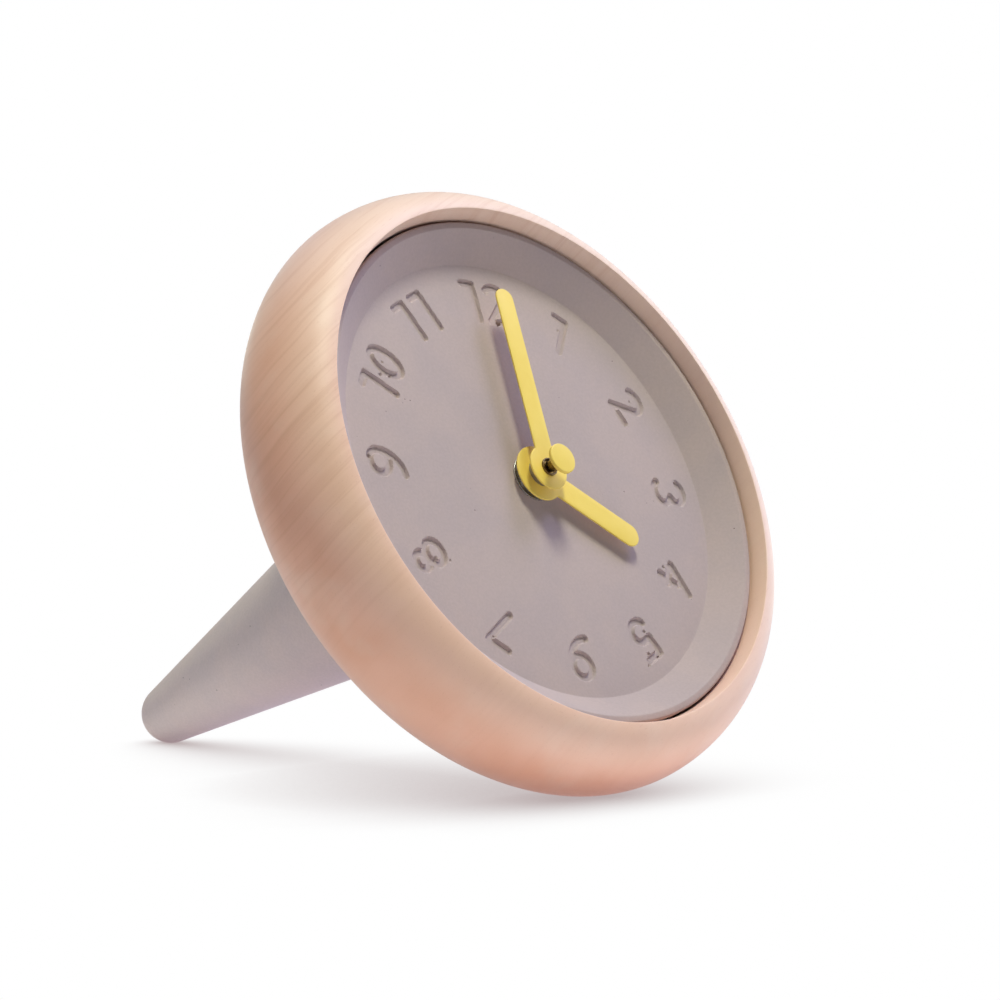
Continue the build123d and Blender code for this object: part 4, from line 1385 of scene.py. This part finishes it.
@dataclass
class Studio:
    """Pale table, soft lamps and the photograph's camera.

    Attributes:
        azimuth: Camera's direction round the clock, in degrees.
        elevation: Camera's height above the horizon, in degrees.
        distance: From the camera to the point it was fitted about, in millimetres.
        aim_depth: Depth of that point behind the ring's mouth.
        sideways: Camera's shift to its right, in millimetres.
        upwards: Camera's shift upwards, in millimetres.
        lens: Focal length for the sensor's width.
        lamp_distance: From the lamps' aim to each lamp, in metres like all that follows.
        shadow_reach: How far the table looks for what covers it.
        shadow_sky: Shares of open sky between which the shadow's tint fades.
        shadow_end: Where the tint stops fading towards the right.
        shadow_right: Share of the tint that is left there.
        glow_span: How far from the middle the table's own light changes.
        glow_left: Its strength on the left.
        glow_right: Its strength on the right.
    """

    clock: ClockFrame
    azimuth: float = -46.645
    elevation: float = 3.306
    distance: float = 976.5
    aim_depth: float = 20.0
    sideways: float = -1.93
    upwards: float = -1.50
    lens: float = 142.05
    sensor: float = 36.0
    lamp_aim: tuple[float, float, float] = (0.0, -0.02, 0.08)
    lamp_distance: float = 1.3
    floor_size: float = 6.0
    paper_colour: str = "#EDEDED"
    shadow_colour: str = "#B9ABAB"
    glow_colour: str = "#FFF8FF"
    shadow_reach: float = 0.07
    shadow_sky: tuple[float, float] = (0.05, 0.82)
    shadow_end: float = 0.08
    shadow_right: float = 0.1
    glow_span: float = 0.2
    glow_left: float = 0.09
    glow_right: float = 0.5
    lamps: tuple[Softbox, ...] = (
        Softbox("warm_key", (-0.030, -0.205, 0.978), (0.24, 0.32), 13.4, "#F9FFE8"),
        Softbox("cool_fill", (0.536, -0.159, 0.829), (0.5, 0.5), 8.2, "#CDCFFF"),
        Softbox("high_back", (0.0, 0.6, 0.8), (0.8, 0.8), 1.8, "#F2FCFF"),
        Softbox("high_left", (-0.75, 0.1, 0.65), (0.8, 0.8), 1.0, "#EEF0FF"),
        Softbox("low_right", (0.95, -0.1, 0.3), (0.8, 0.8), 3.4, "#DDE2FF"),
    )

    def build(self) -> None:
        """Make the table, the world, the lamps and the camera."""
        self.floor()
        self.world()
        for lamp in self.lamps:
            self.hang(lamp)
        self.camera()
        bpy.context.scene.view_settings.view_transform = "Standard"

    def floor(self) -> None:
        """Level table, as a square of four faces."""
        half = self.floor_size / 2
        side = np.linspace(-half, half, 3)
        grid = np.stack(np.broadcast_arrays(side[:, None], side, 0.0), axis=-1)
        index = np.arange(9).reshape(3, 3)
        quads = np.stack([index[:-1, :-1], index[1:, :-1], index[1:, 1:], index[:-1, 1:]], axis=-1)
        mesh = bpy.data.meshes.new("studio_floor")
        mesh.from_pydata(grid.reshape(-1, 3).tolist(), [], quads.reshape(-1, 4).tolist())
        mesh.materials.append(self.paper())
        floor = bpy.data.objects.new("studio_floor", mesh)
        bpy.context.scene.collection.objects.link(floor)

    def paper(self) -> Material:
        """Matte paper, lit through from below a little and more on the right.

        To the camera it is white, and tinted where the clock covers it from the sky.

        Returns:
            The finished material.
        """
        material = bpy.data.materials.new("matte_paper_floor")
        material.use_nodes = True
        tree = material.node_tree
        tree.nodes.clear()
        reach = {"Distance": self.shadow_reach}
        open_sky = add_node(tree, Kind.OPEN_SKY, {"samples": 16}, reach).outputs["AO"]
        place = add_node(tree, Kind.PLACE).outputs["Object"]
        across = add_node(tree, Kind.SEPARATE, None, {"Vector": place}).outputs["X"]
        cover, left, strength = (
            add_node(
                tree,
                Kind.RANGE,
                None,
                {"Value": value, "From Min": start, "From Max": end, "To Min": first, "To Max": last},
            ).outputs["Result"]
            for value, (start, end), (first, last) in (
                (open_sky, self.shadow_sky, (1.0, 0.0)),
                (across, (0.0, self.shadow_end), (1.0, self.shadow_right)),
                (across, (-self.glow_span, self.glow_span), (self.glow_left, self.glow_right)),
            )
        )
        shade = add_node(tree, Kind.MATH, {"operation": "MULTIPLY"}, {0: cover, 1: left}).outputs["Value"]
        tones = {SHARE: shade, UNDER: linear(WHITE), OVER: linear(self.shadow_colour)}
        tone = add_node(tree, Kind.MIX, COLOURS, tones).outputs[MIXED]
        paper = add_node(tree, Kind.DIFFUSE, None, {"Color": linear(self.paper_colour)})
        light = {"Color": linear(self.glow_colour), "Strength": strength}
        glow = add_node(tree, Kind.EMISSION, None, light)
        shown = add_node(tree, Kind.EMISSION, None, {"Color": tone})
        sources = {0: paper.outputs["BSDF"], 1: glow.outputs["Emission"]}
        lit = add_node(tree, Kind.ADD_LIGHT, None, sources)
        views = {0: self.seen(tree), 1: lit.outputs["Shader"], 2: shown.outputs["Emission"]}
        both = add_node(tree, Kind.MIX_LIGHT, None, views)
        add_node(tree, Kind.MATERIAL, None, {"Surface": both.outputs["Shader"]})
        return material

    def seen(self, tree: NodeTree) -> Socket:
        """Tell what is looked at from what only gives light.

        Args:
            tree: The node tree.

        Returns:
            A socket that is 1 on rays from the camera and from mirrors, and 0 on others.
        """
        rays = add_node(tree, Kind.RAYS).outputs
        either = {0: rays["Is Camera Ray"], 1: rays["Is Glossy Ray"]}
        return add_node(tree, Kind.MATH, {"operation": "MAXIMUM"}, either).outputs["Value"]

    def world(self) -> None:
        """Surroundings that are plain white to the camera and in reflections, and give no light."""
        world = bpy.data.worlds.new("studio_world")
        bpy.context.scene.world = world
        world.use_nodes = True
        tree = world.node_tree
        tree.nodes.clear()
        plain = {"Color": linear(WHITE), "Strength": self.seen(tree)}
        light = add_node(tree, Kind.BACKGROUND, None, plain)
        add_node(tree, Kind.WORLD, None, {"Surface": light.outputs["Background"]})

    def hang(self, lamp: Softbox) -> None:
        """Put a lamp into the scene, turned towards the clock.

        Args:
            lamp: The lamp's sizes, place and light.
        """
        light = bpy.data.lights.new(lamp.name, "AREA")
        light.shape = "RECTANGLE"
        light.size, light.size_y = lamp.sides
        light.energy = lamp.power
        light.color = linear(lamp.colour)[:3]
        towards = Vector(lamp.direction).normalized()
        holder = bpy.data.objects.new(lamp.name, light)
        holder.location = Vector(self.lamp_aim) + self.lamp_distance * towards
        holder.rotation_mode = "QUATERNION"
        holder.rotation_quaternion = towards.to_track_quat("Z", "Y")
        bpy.context.scene.collection.objects.link(holder)

    def camera(self) -> None:
        """Camera that looks level along its own azimuth and elevation, as the photograph was taken."""
        turn, rise = math.radians(self.azimuth), math.radians(self.elevation)
        level = math.cos(rise)
        back = Vector((math.sin(turn) * level, -math.cos(turn) * level, math.sin(rise)))
        right = Vector((math.cos(turn), math.sin(turn), 0))
        up = back.cross(right)
        aim = Vector(self.clock.place(0.0, 0.0, self.aim_depth))
        spot = aim + MM * (self.distance * back + self.sideways * right + self.upwards * up)
        data = bpy.data.cameras.new("photo_camera")
        data.sensor_width = self.sensor
        data.lens = self.lens
        camera = bpy.data.objects.new("photo_camera", data)
        camera.matrix_world = Matrix.Translation(spot) @ Matrix((right, up, back)).transposed().to_4x4()
        bpy.context.scene.collection.objects.link(camera)
        bpy.context.scene.camera = camera


def main() -> None:
    """Build the clock's pieces in order, dress the movement and set the studio."""
    logging.basicConfig(level=logging.INFO, format="%(name)s: %(message)s")
    clock = ClockFrame.from_joints(frame["joints"], roll=7.5, arbor_depth=20.0)
    maple = TurnedMaple().build(clock)
    concrete = CastConcrete().build()
    # Painted light: the cone's concrete is a lighter copy of the dial's, for the extra light that falls on
    # the cone's side.
    pale = CastConcrete("cone_concrete_painted_light", "#DACACA", cool_colour="#D4C7C8", warm_colour="#DECDCA")
    yellow = Lacquer().build()
    # Nickel with darker marks and stains than the other metals.
    nickel = TurnedMetal("dark_marked_nickel", "#A9A6A2", 0.3, "#5E5A57").build()
    bronze = TurnedMetal("turned_bronze", "#756449", 0.3, "#4A3E2C").build()
    grey = TurnedMetal("grey_nickel", "#9A958E", 0.45, "#7A756F").build()
    WoodRing(clock).build(maple)
    ConcreteDial(clock).build(concrete)
    ConcreteCone(clock).build(pale.build())
    HandStack(clock).build(yellow, bronze, grey)
    Fastening(clock).build(nickel)
    Movement().dress(frame["nodes"])
    Studio(clock).build()


if __name__ == "__main__":
    main()
